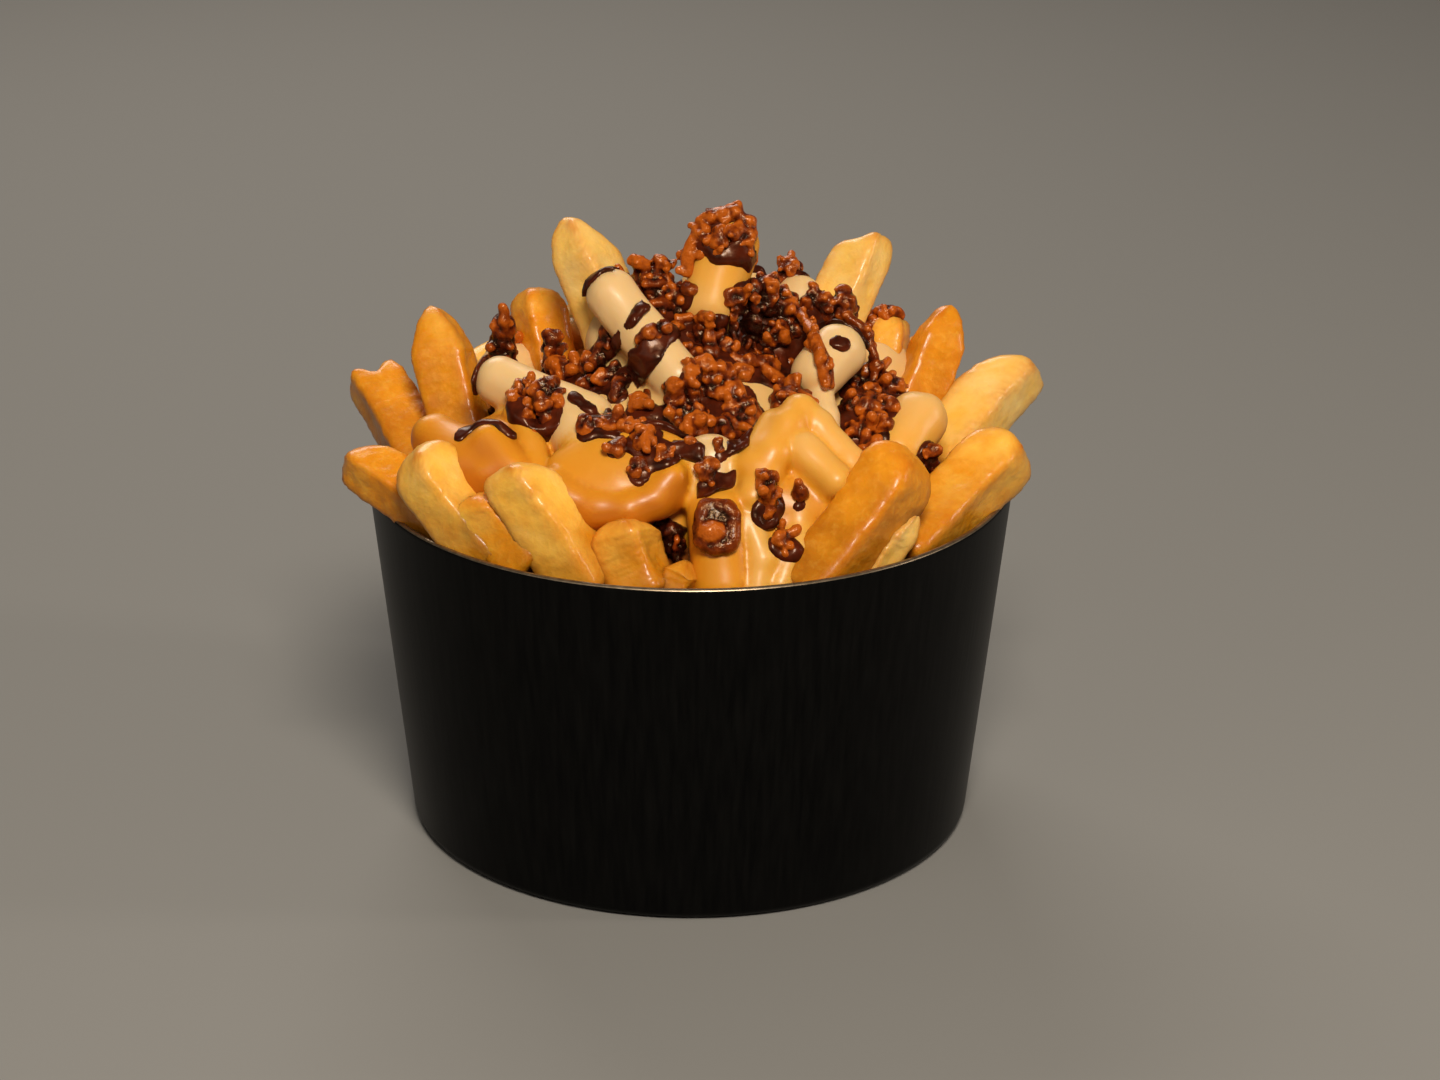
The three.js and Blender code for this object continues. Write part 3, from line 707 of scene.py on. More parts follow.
class Looks:
    """A node material that is being built."""

    def __init__(self, name):
        self.material = bpy.data.materials.new(name)
        self.material.use_nodes = True
        self.nodes = self.material.node_tree.nodes
        self.shader = self.nodes["Principled BSDF"]

    def link(self, source, socket):
        self.material.node_tree.links.new(source, socket)

    def noise(self, scale, detail=3.0, stretch=None):
        coordinates = self.nodes.new("ShaderNodeTexCoord")
        texture = self.nodes.new("ShaderNodeTexNoise")
        texture.inputs["Scale"].default_value = scale
        texture.inputs["Detail"].default_value = detail
        if stretch is None:
            self.link(coordinates.outputs["Object"], texture.inputs["Vector"])
        else:
            mapping = self.nodes.new("ShaderNodeMapping")
            mapping.inputs["Scale"].default_value = stretch
            self.link(coordinates.outputs["Object"], mapping.inputs["Vector"])
            self.link(mapping.outputs["Vector"], texture.inputs["Vector"])
        return texture.outputs["Fac"]

    def attribute(self, name):
        node = self.nodes.new("ShaderNodeAttribute")
        node.attribute_name = name
        return node.outputs["Fac"]

    def ramp(self, source, stops):
        ramp = self.nodes.new("ShaderNodeValToRGB")
        elements = ramp.color_ramp.elements
        while len(elements) < len(stops):
            elements.new(0.5)
        for element, (place, colour) in zip(elements, stops):
            element.position = place
            element.color = (*colour, 1)
        self.link(source, ramp.inputs["Fac"])
        return ramp.outputs["Color"]

    def mixed(self, share, first, colour):
        """The first colour, mixed by the share with a plain one."""
        mix = self.nodes.new("ShaderNodeMix")
        mix.data_type = "RGBA"
        self.link(share, mix.inputs[0])
        self.link(first, mix.inputs[6])
        mix.inputs[7].default_value = (*colour, 1)
        return mix.outputs[2]

    def stretched(self, source, low, high, most):
        """The source stretched so that low becomes 0 and high becomes most."""
        stretch = self.nodes.new("ShaderNodeMapRange")
        self.link(source, stretch.inputs["Value"])
        for name, value in (("From Min", low), ("From Max", high), ("To Min", 0.0), ("To Max", most)):
            stretch.inputs[name].default_value = value
        return stretch.outputs["Result"]

    def shifted(self, source, shift, amount):
        """The source moved by the shift, which counts as nothing at one half, times the amount."""
        scale = self.nodes.new("ShaderNodeMath")
        scale.operation = "MULTIPLY_ADD"
        self.link(self.stretched(shift, 0.0, 1.0, 1.0), scale.inputs[0])
        scale.inputs[1].default_value = amount
        scale.inputs[2].default_value = -amount / 2
        total = self.nodes.new("ShaderNodeMath")
        self.link(source, total.inputs[0])
        self.link(scale.outputs[0], total.inputs[1])
        return total.outputs[0]

    def colour(self, source):
        self.link(source, self.shader.inputs["Base Color"])

    def bump(self, height, strength, distance):
        bump = self.nodes.new("ShaderNodeBump")
        bump.inputs["Strength"].default_value = strength
        bump.inputs["Distance"].default_value = distance
        self.link(height, bump.inputs["Height"])
        self.link(bump.outputs["Normal"], self.shader.inputs["Normal"])

    def set(self, **values):
        for name, value in values.items():
            self.shader.inputs[name.replace("_", " ")].default_value = value


def fries_material():
    looks = Looks("fried_potato")
    broad = looks.stretched(looks.noise(150, 3), -0.35, 1.35, 1.0)
    blotch = looks.noise(330, 3)
    speckle = looks.noise(620, 4)
    tone = looks.shifted(broad, looks.attribute("pale"), 0.65)
    stops = [(0.08, FRY_DEEP), (0.36, FRY_GOLD), (0.64, FRY_PALE), (1.0, FRY_CREAM)]
    colour = looks.ramp(tone, stops)
    colour = looks.mixed(looks.stretched(blotch, 0.56, 0.80, 0.18), colour, FRY_BROWN)
    colour = looks.mixed(looks.stretched(speckle, 0.5, 0.78, 0.3), colour, FRY_PALE)
    colour = looks.mixed(looks.attribute("crisp"), colour, FRY_BROWN)
    looks.colour(looks.mixed(looks.attribute("shadow"), colour, SHADOW_BROWN))
    looks.bump(speckle, 0.4, 0.0006)
    looks.set(Roughness=0.38, Coat_Weight=0.28, Coat_Roughness=0.16, Specular_IOR_Level=0.22)
    looks.set(Subsurface_Weight=0.18, Subsurface_Scale=0.003, Subsurface_Radius=(1.0, 0.45, 0.12))
    return looks.material


def cheese_material():
    looks = Looks("melted_cheese")
    stops = [(0.0, CHEESE_BROWN), (0.12, CHEESE_AMBER), (0.45, CHEESE_GOLD), (0.95, CHEESE_CREAM)]
    # The cream attribute mixes the cheese's own tone with painted light and shade.
    looks.colour(looks.ramp(looks.attribute("cream"), stops))
    looks.bump(looks.noise(160, 2), 0.10, 0.0008)
    looks.set(Roughness=0.42, Coat_Weight=0.20, Coat_Roughness=0.22, Specular_IOR_Level=0.3)
    looks.set(Subsurface_Weight=0.30, Subsurface_Scale=0.004, Subsurface_Radius=(1.0, 0.55, 0.18))
    return looks.material


def crumb_material():
    looks = Looks("glazed_crumbs")
    fine = looks.noise(1000, 4)
    stops = [(0.0, CRUMB_BLACK), (0.3, CRUMB_RED), (0.62, CRUMB_BROWN), (1.0, CRUMB_ORANGE)]
    # The orange attribute mixes the crumbs' own tone with painted light and shade.
    looks.colour(looks.ramp(looks.shifted(looks.attribute("orange"), fine, 0.5), stops))
    looks.bump(fine, 0.5, 0.0007)
    looks.set(Roughness=0.24, Coat_Weight=0.13, Coat_Roughness=0.05)
    looks.set(Specular_IOR_Level=0.5, Specular_Tint=CRUMB_SHEEN)
    return looks.material


def sauce_material():
    looks = Looks("dark_sauce")
    broad = looks.noise(260, 3)
    looks.colour(looks.ramp(broad, [(0.35, SAUCE_DEEP), (0.7, SAUCE_RED)]))
    looks.bump(broad, 0.35, 0.0008)
    looks.set(Roughness=0.30, Coat_Weight=0.15, Coat_Roughness=0.14)
    looks.set(Specular_IOR_Level=0.3, Specular_Tint=SAUCE_SHEEN)
    return looks.material


def tub_material():
    looks = Looks("black_coating")
    grain = looks.noise(700, 3, stretch=(1, 1, 0.03))
    looks.colour(looks.ramp(grain, [(0.3, TUB_BLACK), (0.75, TUB_GREY)]))
    looks.bump(grain, 0.10, 0.0002)
    looks.set(Roughness=0.36, Specular_IOR_Level=0.05)
    return looks.material


def rim_material():
    looks = Looks("bare_rim")
    looks.colour(looks.ramp(looks.noise(600, 2), [(0.3, RIM_DARK), (0.7, RIM_LIGHT)]))
    looks.set(Roughness=0.35, Metallic=0.9)
    return looks.material


def floor_material():
    looks = Looks("pale_floor")
    looks.set(Base_Color=(*FLOOR_GREY, 1), Roughness=0.8)
    return looks.material


# The tub.

TUB_SIDES = 256
BASE_STEPS = 8
# The rounded edge of the base ends this much short of upright, and this far out.
BASE_SHORT = 0.1
BASE_OUT = 0.3
RIM_STEPS = 14
RIM_SWEEP = 1.15 * math.pi
RIM_BARE = (0.12, 0.85)
WALL_TOP = TUB_HEIGHT - 1.5
WALL_SHARES = (0.25, 0.5, 0.75, 1)
# Inside, the wall starts this far under the rim, and it meets the floor over this much.
RIM_INSIDE = 3.0
FLOOR_ROUND = 2.0


def tub_profile():
    """Radius, height and whether the metal is bare, from the axis out, up, over and down inside."""
    profile = [(0.0, 0.0, 0)]
    middle = TUB_BASE_RADIUS - TUB_BASE_ROUND + BASE_OUT
    for step in range(BASE_STEPS + 1):
        angle = -math.pi / 2 + step / BASE_STEPS * (math.pi / 2 - BASE_SHORT)
        height = TUB_BASE_ROUND + TUB_BASE_ROUND * math.sin(angle)
        profile.append((middle + TUB_BASE_ROUND * math.cos(angle), height, 0))
    for share in WALL_SHARES:
        height = between(TUB_BASE_ROUND, WALL_TOP, share)
        profile.append((wall_radius(height) + TUB_WALL, height, 0))
    rim_middle = TUB_TOP_RADIUS - TUB_RIM_BEAD
    for step in range(RIM_STEPS + 1):
        share = step / RIM_STEPS
        height = TUB_HEIGHT - TUB_RIM_BEAD + TUB_RIM_BEAD * math.sin(share * RIM_SWEEP)
        bare = int(RIM_BARE[0] < share < RIM_BARE[1])
        profile.append((rim_middle + TUB_RIM_BEAD * math.cos(share * RIM_SWEEP), height, bare))
    for height in (TUB_HEIGHT - RIM_INSIDE, TUB_FLOOR + FLOOR_ROUND):
        profile.append((wall_radius(height), height, 0))
    profile.append((wall_radius(TUB_FLOOR) - FLOOR_ROUND, TUB_FLOOR, 0))
    profile.append((0.0, TUB_FLOOR, 0))
    return profile


def make_tub():
    profile = tub_profile()
    rings = profile[1:-1]
    angles = np.arange(TUB_SIDES) / TUB_SIDES * 2 * math.pi
    vertices = [(r * math.cos(a), r * math.sin(a), height) for r, height, _ in rings for a in angles]
    bottom, top = len(vertices), len(vertices) + 1
    vertices += [(0, 0, profile[0][1]), (0, 0, profile[-1][1])]
    faces = ring_faces(len(rings), TUB_SIDES, 0)
    bare = [rings[n // TUB_SIDES][2] for n in range(len(faces))]
    last = (len(rings) - 1) * TUB_SIDES
    faces += [(bottom, (k + 1) % TUB_SIDES, k) for k in range(TUB_SIDES)]
    faces += [(top, last + k, last + (k + 1) % TUB_SIDES) for k in range(TUB_SIDES)]
    piece = mesh_piece("tub_body", vertices, faces, [tub_material(), rim_material()], "tub", "tub")
    bare += [0] * (len(faces) - len(bare))
    piece.data.polygons.foreach_set("material_index", bare)


def ring_faces(rings, around, offset):
    """Quads between rings of points, with the outside to the left of the way up."""
    faces = []
    for ring in range(rings - 1):
        for k in range(around):
            a = offset + ring * around + k
            b = offset + ring * around + (k + 1) % around
            faces.append((a, b, b + around, a + around))
    return faces


# The fries.

FRY_AROUND = 36
FRY_ALONG = 46
FILLER_AROUND = 16
FILLER_ALONG = 14
FILLER_COUNT = 64
TIP_REACH = 0.42
EDGE_ROUND = 2.0
EDGE_STEPS = 5
# How much a fry bends, twists, sinks in on its faces and differs between its sides, at most, and how
# square it is: the power of the curve that its section follows.
MOST_BEND = 1.2
MOST_TWIST = 0.25
MOST_HOLLOW = 0.10
MOST_UNEVEN = 0.07
SQUARENESS = (5.5, 9.0)
# How far away from itself a fry takes its noise, at most, so that no two have the same blisters.
NOISE_SHIFT = 50
# How far down its length a fry narrows to its tip, and the least width left: pointed tips and others.
POINTED = ("point", "ridge")
POINTED_NARROWING = (0.30, 0.0)
BLUNT_NARROWING = (0.16, 0.82)
# A fry that shows an edge in front is turned by this, and thinner so that it fills the same width.
RIDGE_TURN = 0.72
RIDGE_SHARE = 0.84

# How a tip was cut: planes across the fry, each as its slope along both sides and its set-back.
TIP_PLANES = {
    "flat": [(0.10, 0.15, 0.0), (0.9, 0.5, -4.2), (-0.7, 0.9, -4.6)],
    "point": [(0.95, 0.25, 0.0), (-0.75, 0.35, 0.0), (0.2, -0.7, -0.4), (0.1, 0.9, -1.0)],
    "round": [(0.0, 0.0, 0.0), (0.75, 0.2, -2.0), (-0.75, 0.1, -2.2), (0.1, 0.7, -2.0), (0.0, -0.7, -2.2)],
    "chisel": [(-0.7, 0.2, 0.0), (0.5, 0.2, -5.0)],
    "notch": [(0.0, 0.1, 0.0)],
}
TIP_PLANES["ridge"] = TIP_PLANES["point"]
TIP_SHARPNESS = 1.6
NOTCH_DEPTH = 2.6
NOTCH_WIDTH = 2.0


def tip_face(cut, slant, i, j):
    """How far back the cut face of a tip lies, over each point across the fry."""
    planes = [a * i + b * j + c for a, b, c in TIP_PLANES[cut]]
    back = np.log(sum(np.exp(np.clip(plane, -20, 20) * TIP_SHARPNESS) for plane in planes)) / TIP_SHARPNESS
    if cut == "notch":
        back = back + NOTCH_DEPTH * np.exp(-(i / NOTCH_WIDTH) ** 2)
    return back + slant * 0.6 * i


def fry_mesh(tip, foot, thick, taper, cut, roll, slant, seed, around, along_count):
    """A fried potato stick: a soft square section, hollow faces, a cut tip and a square foot."""
    rng = np.random.default_rng(seed)
    axes = [np.array(d) for d in across_of(tip, foot, roll)]
    length = (Vector(foot) - Vector(tip)).length
    bend = rng.uniform(-MOST_BEND, MOST_BEND, 2)
    twist = rng.uniform(-MOST_TWIST, MOST_TWIST)
    hollow = rng.uniform(0.0, MOST_HOLLOW, 4)
    square = rng.uniform(*SQUARENESS)
    sides = 1 + rng.uniform(-MOST_UNEVEN, MOST_UNEVEN)
    shift = rng.uniform(-NOISE_SHIFT, NOISE_SHIFT, 3)
    narrows, least = POINTED_NARROWING if cut in POINTED else BLUNT_NARROWING
    turn = np.arange(around) / around * 2 * math.pi
    theta = turn + 0.09 * np.sin(4 * turn)
    cosine, sine = np.cos(theta), np.sin(theta)
    reach = (np.abs(cosine) ** square + np.abs(sine) ** square) ** (-1 / square)
    corner = np.abs(np.sin(2 * theta)) ** 3
    face = np.floor(((theta + math.pi / 4) % (2 * math.pi)) / (math.pi / 2)).astype(int) % 4

    end_rings = [(0.0, 0.35, EDGE_ROUND), (0.0, 0.75, EDGE_ROUND)]
    for a in np.linspace(0, math.pi / 2, EDGE_STEPS)[1:]:
        end_rings.append((EDGE_ROUND * (1 - math.cos(a)), 1.0, EDGE_ROUND * (1 - math.sin(a))))
    body = np.linspace(EDGE_ROUND, length - EDGE_ROUND, along_count)[1:-1]
    rings = end_rings + [(run, 1.0, 0.0) for run in body]
    rings += [(length - run, scale, inset) for run, scale, inset in end_rings[::-1]]

    vertices, crisp = [], []
    for run, scale, inset in rings:
        share = run / length
        full = 1 - (1 - min(1.0, share / narrows)) ** 2
        half = thick / 2 * between(max(taper, least), 1, full) * (1 + 0.025 * math.sin(8 * share + shift[0]))
        dent = hollow[face] * (1 - corner) * math.sin(math.pi * min(1, share * 1.1))
        radius = (half * reach * (1 - dent) - inset) * scale
        i, j = radius * cosine * sides, radius * sine / sides
        decay = max(0.0, 1 - share / TIP_REACH)
        back = tip_face(cut, slant, i, j) * decay
        angle = twist * share
        i, j = i * math.cos(angle) - j * math.sin(angle), i * math.sin(angle) + j * math.cos(angle)
        sway = math.sin(math.pi * share)
        place = np.array(tip, float) + np.outer(run + back, axes[0])
        place += np.outer(i + bend[0] * sway, axes[1]) + np.outer(j + bend[1] * sway, axes[2])
        vertices.append(place)
        end = math.exp(-(run / 2.0) ** 2)
        crisp.append(0.34 * corner ** 2 * scale + 0.30 * end * (0.4 + 0.6 * scale))
    return np.concatenate(vertices), np.concatenate(crisp), shift, len(rings)


# Blisters and dents on the skin: how fine they are and how high.
BLISTERS = [(0.13, 0.30), (0.42, 0.28), (1.1, 0.16)]


def roughen(vertices, rings, around, crisp, shift):
    """Blisters and dents on the skin, and browning on what stands out."""
    block = vertices.reshape(rings, around, 3)
    round_way = np.roll(block, -1, axis=1) - np.roll(block, 1, axis=1)
    normal = np.cross(round_way, np.gradient(block, axis=0))
    normal /= np.linalg.norm(normal, axis=2, keepdims=True) + 1e-9
    normal = normal.reshape(-1, 3)
    out = np.empty_like(vertices)
    brown = np.empty(len(vertices))
    for n, (vertex, way) in enumerate(zip(vertices, normal)):
        place = Vector(vertex + shift)
        waves = [noise.noise(place * scale) for scale, _ in BLISTERS]
        broad, middle, fine = waves
        out[n] = vertex + way * sum(height * wave for (_, height), wave in zip(BLISTERS, waves))
        brown[n] = crisp[n] * (1 + 0.8 * fine) + 0.20 * max(0.0, broad) + 0.12 * middle
    return out, np.clip(brown, 0, 1)


def lay_fries(rows):
    """All the fries of some rows as one mesh: vertices, faces, browning and the way from tip to foot."""
    vertices, faces, crisp, runs = [], [], [], []
    offset = 0
    for row in rows:
        around = row[-2]
        points, edge, shift, rings = fry_mesh(*row)
        points, brown = roughen(points, rings, around, edge, shift)
        faces += ring_faces(rings, around, offset)
        for ring, flip in ((0, True), (rings - 1, False)):
            loop = [offset + ring * around + k for k in range(around)]
            for k in range(1, around // 2):
                quad = [loop[k - 1], loop[k], loop[around - 1 - k], loop[(around - k) % around]]
                faces.append(tuple(quad[::-1] if flip else quad))
        vertices.append(points)
        crisp.append(brown)
        runs.append(np.repeat(np.linspace(0, 1, rings), around))
        offset += len(points)
    return np.concatenate(vertices), faces, np.concatenate(crisp), runs


# Beside another fry a fry is dark: how much at most, and over what distance.
CREASE_SHADOW = 0.55
CREASE_REACH = 1.1


def crease_shadow(blocks, rows):
    """How dark each point of each fry is from lying in the crease beside another fry."""
    shadows = []
    for own, points in enumerate(blocks):
        nearest = np.full(len(points), np.inf)
        for other, (tip, foot, thick, *_) in enumerate(rows):
            if other != own:
                start = np.array(tip) + np.array(across_of(tip, foot, 0)[0]) * thick / 2
                nearest = np.minimum(nearest, capsule_shape(start, foot, thick / 2)(*points.T))
        shadows.append(CREASE_SHADOW * np.exp(-(np.maximum(nearest, 0) / CREASE_REACH) ** 2))
    return np.concatenate(shadows)


# Below this height the fries darken toward the rim, over this depth and this much.
FOOT_LIGHT = 96.0
FOOT_FADE = 22.0
FOOT_SHADOW = 0.42
# A fry's tip is paler than the fry as a whole by this, and its foot is as much deeper.
TIP_PALER = 0.25
BARE_SEED = 100


def make_fries(material):
    """Every fry that shows bare."""
    rows, paleness = [], []
    for index, (fry, (roll, slant)) in enumerate(zip(bare_fries, rolls_and_slants)):
        tip, foot, thick, taper, cut, pale = fry
        paleness.append(pale)
        if cut == "ridge":
            roll, thick = RIDGE_TURN, thick * RIDGE_SHARE
        rows.append((tip, foot, thick, taper, cut, roll, slant, BARE_SEED + index, FRY_AROUND, FRY_ALONG))
    vertices, faces, crisp, runs = lay_fries(rows)
    piece = mesh_piece("fries_heap", vertices, faces, [material], "fries", "fries")
    add_attribute(piece, "crisp", crisp)
    pale = [own + TIP_PALER - 2 * TIP_PALER * run for own, run in zip(paleness, runs)]
    add_attribute(piece, "pale", np.concatenate(pale))
    foot = FOOT_SHADOW * np.clip((FOOT_LIGHT - vertices[:, 2]) / FOOT_FADE, 0, 1)
    blocks = np.split(vertices, np.cumsum([len(run) for run in runs])[:-1])
    add_attribute(piece, "shadow", np.maximum(foot, crease_shadow(blocks, rows)))


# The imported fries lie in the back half, where the bare ones leave gaps.
FILLER_PLACES_SEED = 5
FILLER_ANGLES = (-5, 185)
FILLER_RADII = (34, 60)
FILLER_HALF_LENGTHS = (11, 17)
FILLER_THICKNESS = (9, 12)
FILLER_SEED = 300
FILLER_SHADOW = 0.3
CORE_SIDES = 96
CORE_RINGS = 34
CORE_FOOT = 40.0
# The ground under them lies this much lower than the frame's core, and is this dark and brown.
CORE_SUNK = 3.0
CORE_SHADOW = 0.85
CORE_CRISP = 0.7


def make_packed_fries(material):
    """The heap under what shows: fries lying across each other on uneven ground, down in the tub."""
    rng = np.random.default_rng(FILLER_PLACES_SEED)
    rows = []
    for k in range(FILLER_COUNT):
        angle = math.radians(between(*FILLER_ANGLES, rng.random()))
        radius = between(*FILLER_RADII, rng.random() ** 0.7)
        heading = angle + math.pi / 2 + rng.uniform(-1.0, 1.0)
        step = np.array([math.cos(heading), math.sin(heading)]) * rng.uniform(*FILLER_HALF_LENGTHS)
        middle = np.array([radius * math.cos(angle), radius * math.sin(angle)])
        thick = rng.uniform(*FILLER_THICKNESS)
        ends = []
        for point in (middle - step, middle + step):
            most = wall_radius(70) - thick / 2 - 3
            point = point * min(1, most / np.hypot(*point))
            ends.append((*point, float(core_height(np.hypot(*point))) - 1.5 + rng.uniform(-2, 1.5)))
        roll, slant = rng.uniform(-0.6, 0.6), rng.uniform(-0.4, 0.4)
        cut = CUTS[k % len(CUTS)]
        rows.append((*ends, thick, 0.8, cut, roll, slant, FILLER_SEED + k, FILLER_AROUND, FILLER_ALONG))
    vertices, faces, crisp, _ = lay_fries(rows)
    shadow = np.full(len(crisp), FILLER_SHADOW)

    edge = wall_radius(float(core_height(TUB_BASE_RADIUS))) - 0.6
    radii = np.concatenate([np.linspace(edge, 1.0, CORE_RINGS), [0.01]])
    rows = [(wall_radius(CORE_FOOT) - 1.0, CORE_FOOT)]
    rows += [(radius, float(core_height(radius)) - CORE_SUNK) for radius in radii]
    ground = []
    for radius, height in rows:
        for k in range(CORE_SIDES):
            angle = k / CORE_SIDES * 2 * math.pi
            x, y = radius * math.cos(angle), radius * math.sin(angle)
            rise = 0 if height == CORE_FOOT else 1.8 * noise.noise(Vector((x, y, 3)) * 0.14)
            ground.append((x, y, height + rise))
    faces += ring_faces(len(rows), CORE_SIDES, len(vertices))
    vertices = np.concatenate([vertices, ground])
    crisp = np.concatenate([crisp, np.full(len(ground), CORE_CRISP)])
    shadow = np.concatenate([shadow, np.full(len(ground), CORE_SHADOW)])
    piece = mesh_piece("packed_fries", vertices, faces, [material], "fries", "fries")
    add_attribute(piece, "crisp", crisp)
    add_attribute(piece, "shadow", shadow)


# The cheese, the dark sauce and the crumbs.

# The cheese is painted creamier the more it faces up than this, as painted top light, and the more it stands
# out, as painted light on ridges and painted shade in hollows.
TOP_LIGHT_LEVEL = 0.45
PAINTED_TOP_LIGHT = 0.15
PAINTED_BULGE_LIGHT = 1.5


def make_cheese(field, material):
    vertices, faces = field.mesh()
    out, normal = bulge(vertices, faces, 1, 6)
    tone = field.sample(field.tone, vertices)
    # The cream tone is the cheese's own tone plus painted top light and painted shade in hollows.
    tone = tone + PAINTED_TOP_LIGHT * (normal[:, 2] - TOP_LIGHT_LEVEL) + PAINTED_BULGE_LIGHT * out
    piece = mesh_piece("cheese_blanket", vertices, faces, [material], "cheese", "cheese_sauce")
    add_attribute(piece, "cream", np.clip(tone, 0, 1))


def height_map(field):
    """A function for the height of the highest surface over a place in plan."""
    top = field.top()

    def at(x, y):
        i = int(np.clip(round((x - field.low[0]) / field.step), 0, field.size[0] - 1))
        j = int(np.clip(round((y - field.low[1]) / field.step), 0, field.size[1] - 1))
        height = top[i, j]
        return float(core_height(math.hypot(x, y))) if math.isnan(height) else float(height)

    return at


def ground_finder(field):
    """A function for the height of the surface nearest a place: up out of the cheese, or down on to it."""
    def at(x, y, z):
        place = np.rint((np.array([x, y, z]) - field.low) / field.step).astype(int)
        i, j, k = (int(n) for n in np.clip(place, 0, field.size - 1))
        column = field.value[i, j]
        if column[k] < 0:
            while k < len(column) - 1 and column[k] < 0:
                k += 1
        else:
            while k > 0 and column[k] >= 0:
                k -= 1
        return max(field.low[2] + field.step * k, float(core_height(math.hypot(x, y))))

    return at


# How thick the dark sauce is, how uneven, how soft its edge is and how far into the cheese it reaches.
SAUCE_THICKNESS = 0.9
SAUCE_UNEVEN = 0.65
SAUCE_EDGE = 0.9
SAUCE_DEPTH = 1.2
# A patch of it reaches this far up and down, and stays this far away from the clean fries.
PATCH_RISE = 16
CLEAN_MARGIN = 1.5
# The puddles under each heap of crumbs: how many, their radius as a share of the heap's width, how far
# they lie from its middle as such a share, and how far under it.
PUDDLES = 3
PUDDLE_SHARE = (0.36, 0.46)
PUDDLE_AWAY = 0.25
PUDDLE_UNDER = 2
PUDDLE_SEED = 21
DRIZZLE_STEPS = 9


def sauce_mask(height):
    """Where the dark sauce lies, and the part of it with crumbs strewn on it, without drizzles and bands."""
    mask = Field(CHEESE_LOW, CHEESE_HIGH, CHEESE_STEP, far=9.0)
    for (x, y), (half_x, half_y) in SAUCE_PATCHES:
        centre, half = (x, y, height(x, y)), (half_x, half_y, PATCH_RISE)
        mask.add(box_round([centre], 20), ellipsoid_shape(centre, half), 0, 1.5)
    mask.value += 1.6 * mask.noise(6.0, 30)
    for index in CLEAN_FRIES:
        tip, foot, thick = coated_fries[index][:3]
        distance, _, _ = stick_shape(tip, foot, thick + 2 * CLEAN_MARGIN, 0.7)
        mask.cut(box_round([tip, foot], thick), distance, 0.8)
    rng = np.random.default_rng(PUDDLE_SEED)
    for (x, y, z), width, _ in CRUMB_HEAPS:
        for _ in range(PUDDLES):
            away = rng.uniform(-PUDDLE_AWAY, PUDDLE_AWAY, 3) * width
            centre = np.array([x, y, z - PUDDLE_UNDER]) + away
            radius = width * rng.uniform(*PUDDLE_SHARE)
            mask.add(box_round([centre], radius + 1), ellipsoid_shape(centre, (radius,) * 3), 0, 1.5)
    strewn = mask.value.copy()
    for places in DRIZZLES:
        for start, end in zip(places[:-1], places[1:]):
            for share in np.linspace(0, 1, DRIZZLE_STEPS):
                x, y = (between(a, b, share) for a, b in zip(start, end))
                centre = (x, y, height(x, y))
                radius = DRIZZLE_RADIUS * (1 + 0.25 * math.sin(9 * share + x))
                mask.add(box_round([centre], radius + 1), ellipsoid_shape(centre, (radius,) * 3), 0, 0.8)
    for index, place, half_width, lean, low, high in BANDS:
        tip, foot, thick = coated_fries[index][:3]
        _, parts, length = stick_shape(tip, foot, thick, 0.7)

        def band(x, y, z, parts=parts, place=place * length, half_width=half_width * length):
            run, side, up = parts(x, y, z)
            away = np.sqrt(side ** 2 + up ** 2) - thick * 0.8
            edges = [np.abs(run - place + lean * side) - half_width, low - side, side - high, away]
            return np.maximum(np.maximum(edges[0], edges[1]), np.maximum(edges[2], edges[3]))

        mask.add(box_round([tip, foot], thick), band, 0, 0.8)
    mask.value += 0.6 * mask.noise(3.0, 31)
    return mask, strewn


def make_dark_sauce(cheese, mask, material):
    """A glaze on the cheese, under the mask, uneven as crumbs in it make it."""
    field = Field(CHEESE_LOW, CHEESE_HIGH, CHEESE_STEP)
    skin = cheese.value - SAUCE_THICKNESS - SAUCE_UNEVEN * field.noise(2.4, 33)
    field.value = smooth_max(skin, mask.value, SAUCE_EDGE)
    field.value = np.maximum(field.value, -cheese.value - SAUCE_DEPTH)
    vertices, faces = field.mesh()
    mesh_piece("dark_sauce", vertices, faces, [material], "crumbs")


CRUMB_STEP = 0.45
CRUMB_LOW = (-54, -66, 76)
CRUMB_HIGH = (58, 56, 152)
NODULE_RADII = (0.9, 1.85)
NODULE_SPACING = 2.3
ROD_SHARE = 0.2
KNOB_COUNT = 6
KNOB_SHARE = (0.30, 0.5)
# One crumb is strewn for so many square millimetres of sauce, at least this far inside its edge.
SCATTER_AREA = 8.0
SCATTER_INSET = 0.4
# A crumb that would have to rise by more than this to come out of the cheese is left out.
MOST_LIFT = 3.5
# The solid middle of a heap, as a share of its width.
HEAP_CORE = 0.27
# How much darker a crumb is for each millimetre that it lies under the heap round it, and over what width.
DEPTH_SHADE = 0.14
DEPTH_REACH = 5.0
DEPTH_RANGE = (-0.5, 5.0)
# Painted light and shade on the crumbs: how much more orange a crumb is painted where it stands out by a
# millimetre, from near and from farther away, and how much darker all of them are painted.
FINE_SHADE = 3.6
BROAD_SHADE = 0.95
CRUMB_SHADE = 0.10
# The grain of the crumbs: the size, the number added to the seed and the height of each noise.
CRUMB_GRAIN = [(1.2, 10, 0.27), (2.6, 11, 0.30)]
CHUNKS = 9
# From one crumb of a heap to the next, and from one knob to the next, the tone differs by up to this.
CRUMB_VARIETY = 0.35
KNOB_VARIETY = 0.25


def random_turn(rng):
    """A random rotation matrix."""
    turn, _ = np.linalg.qr(rng.normal(size=(3, 3)))
    return turn


def random_way(rng):
    way = rng.normal(size=3)
    return way / np.linalg.norm(way)


def add_knob(field, place, size, tone):
    field.add(box_round([place], size + 0.3), ellipsoid_shape(place, (size,) * 3), tone, 0.25)


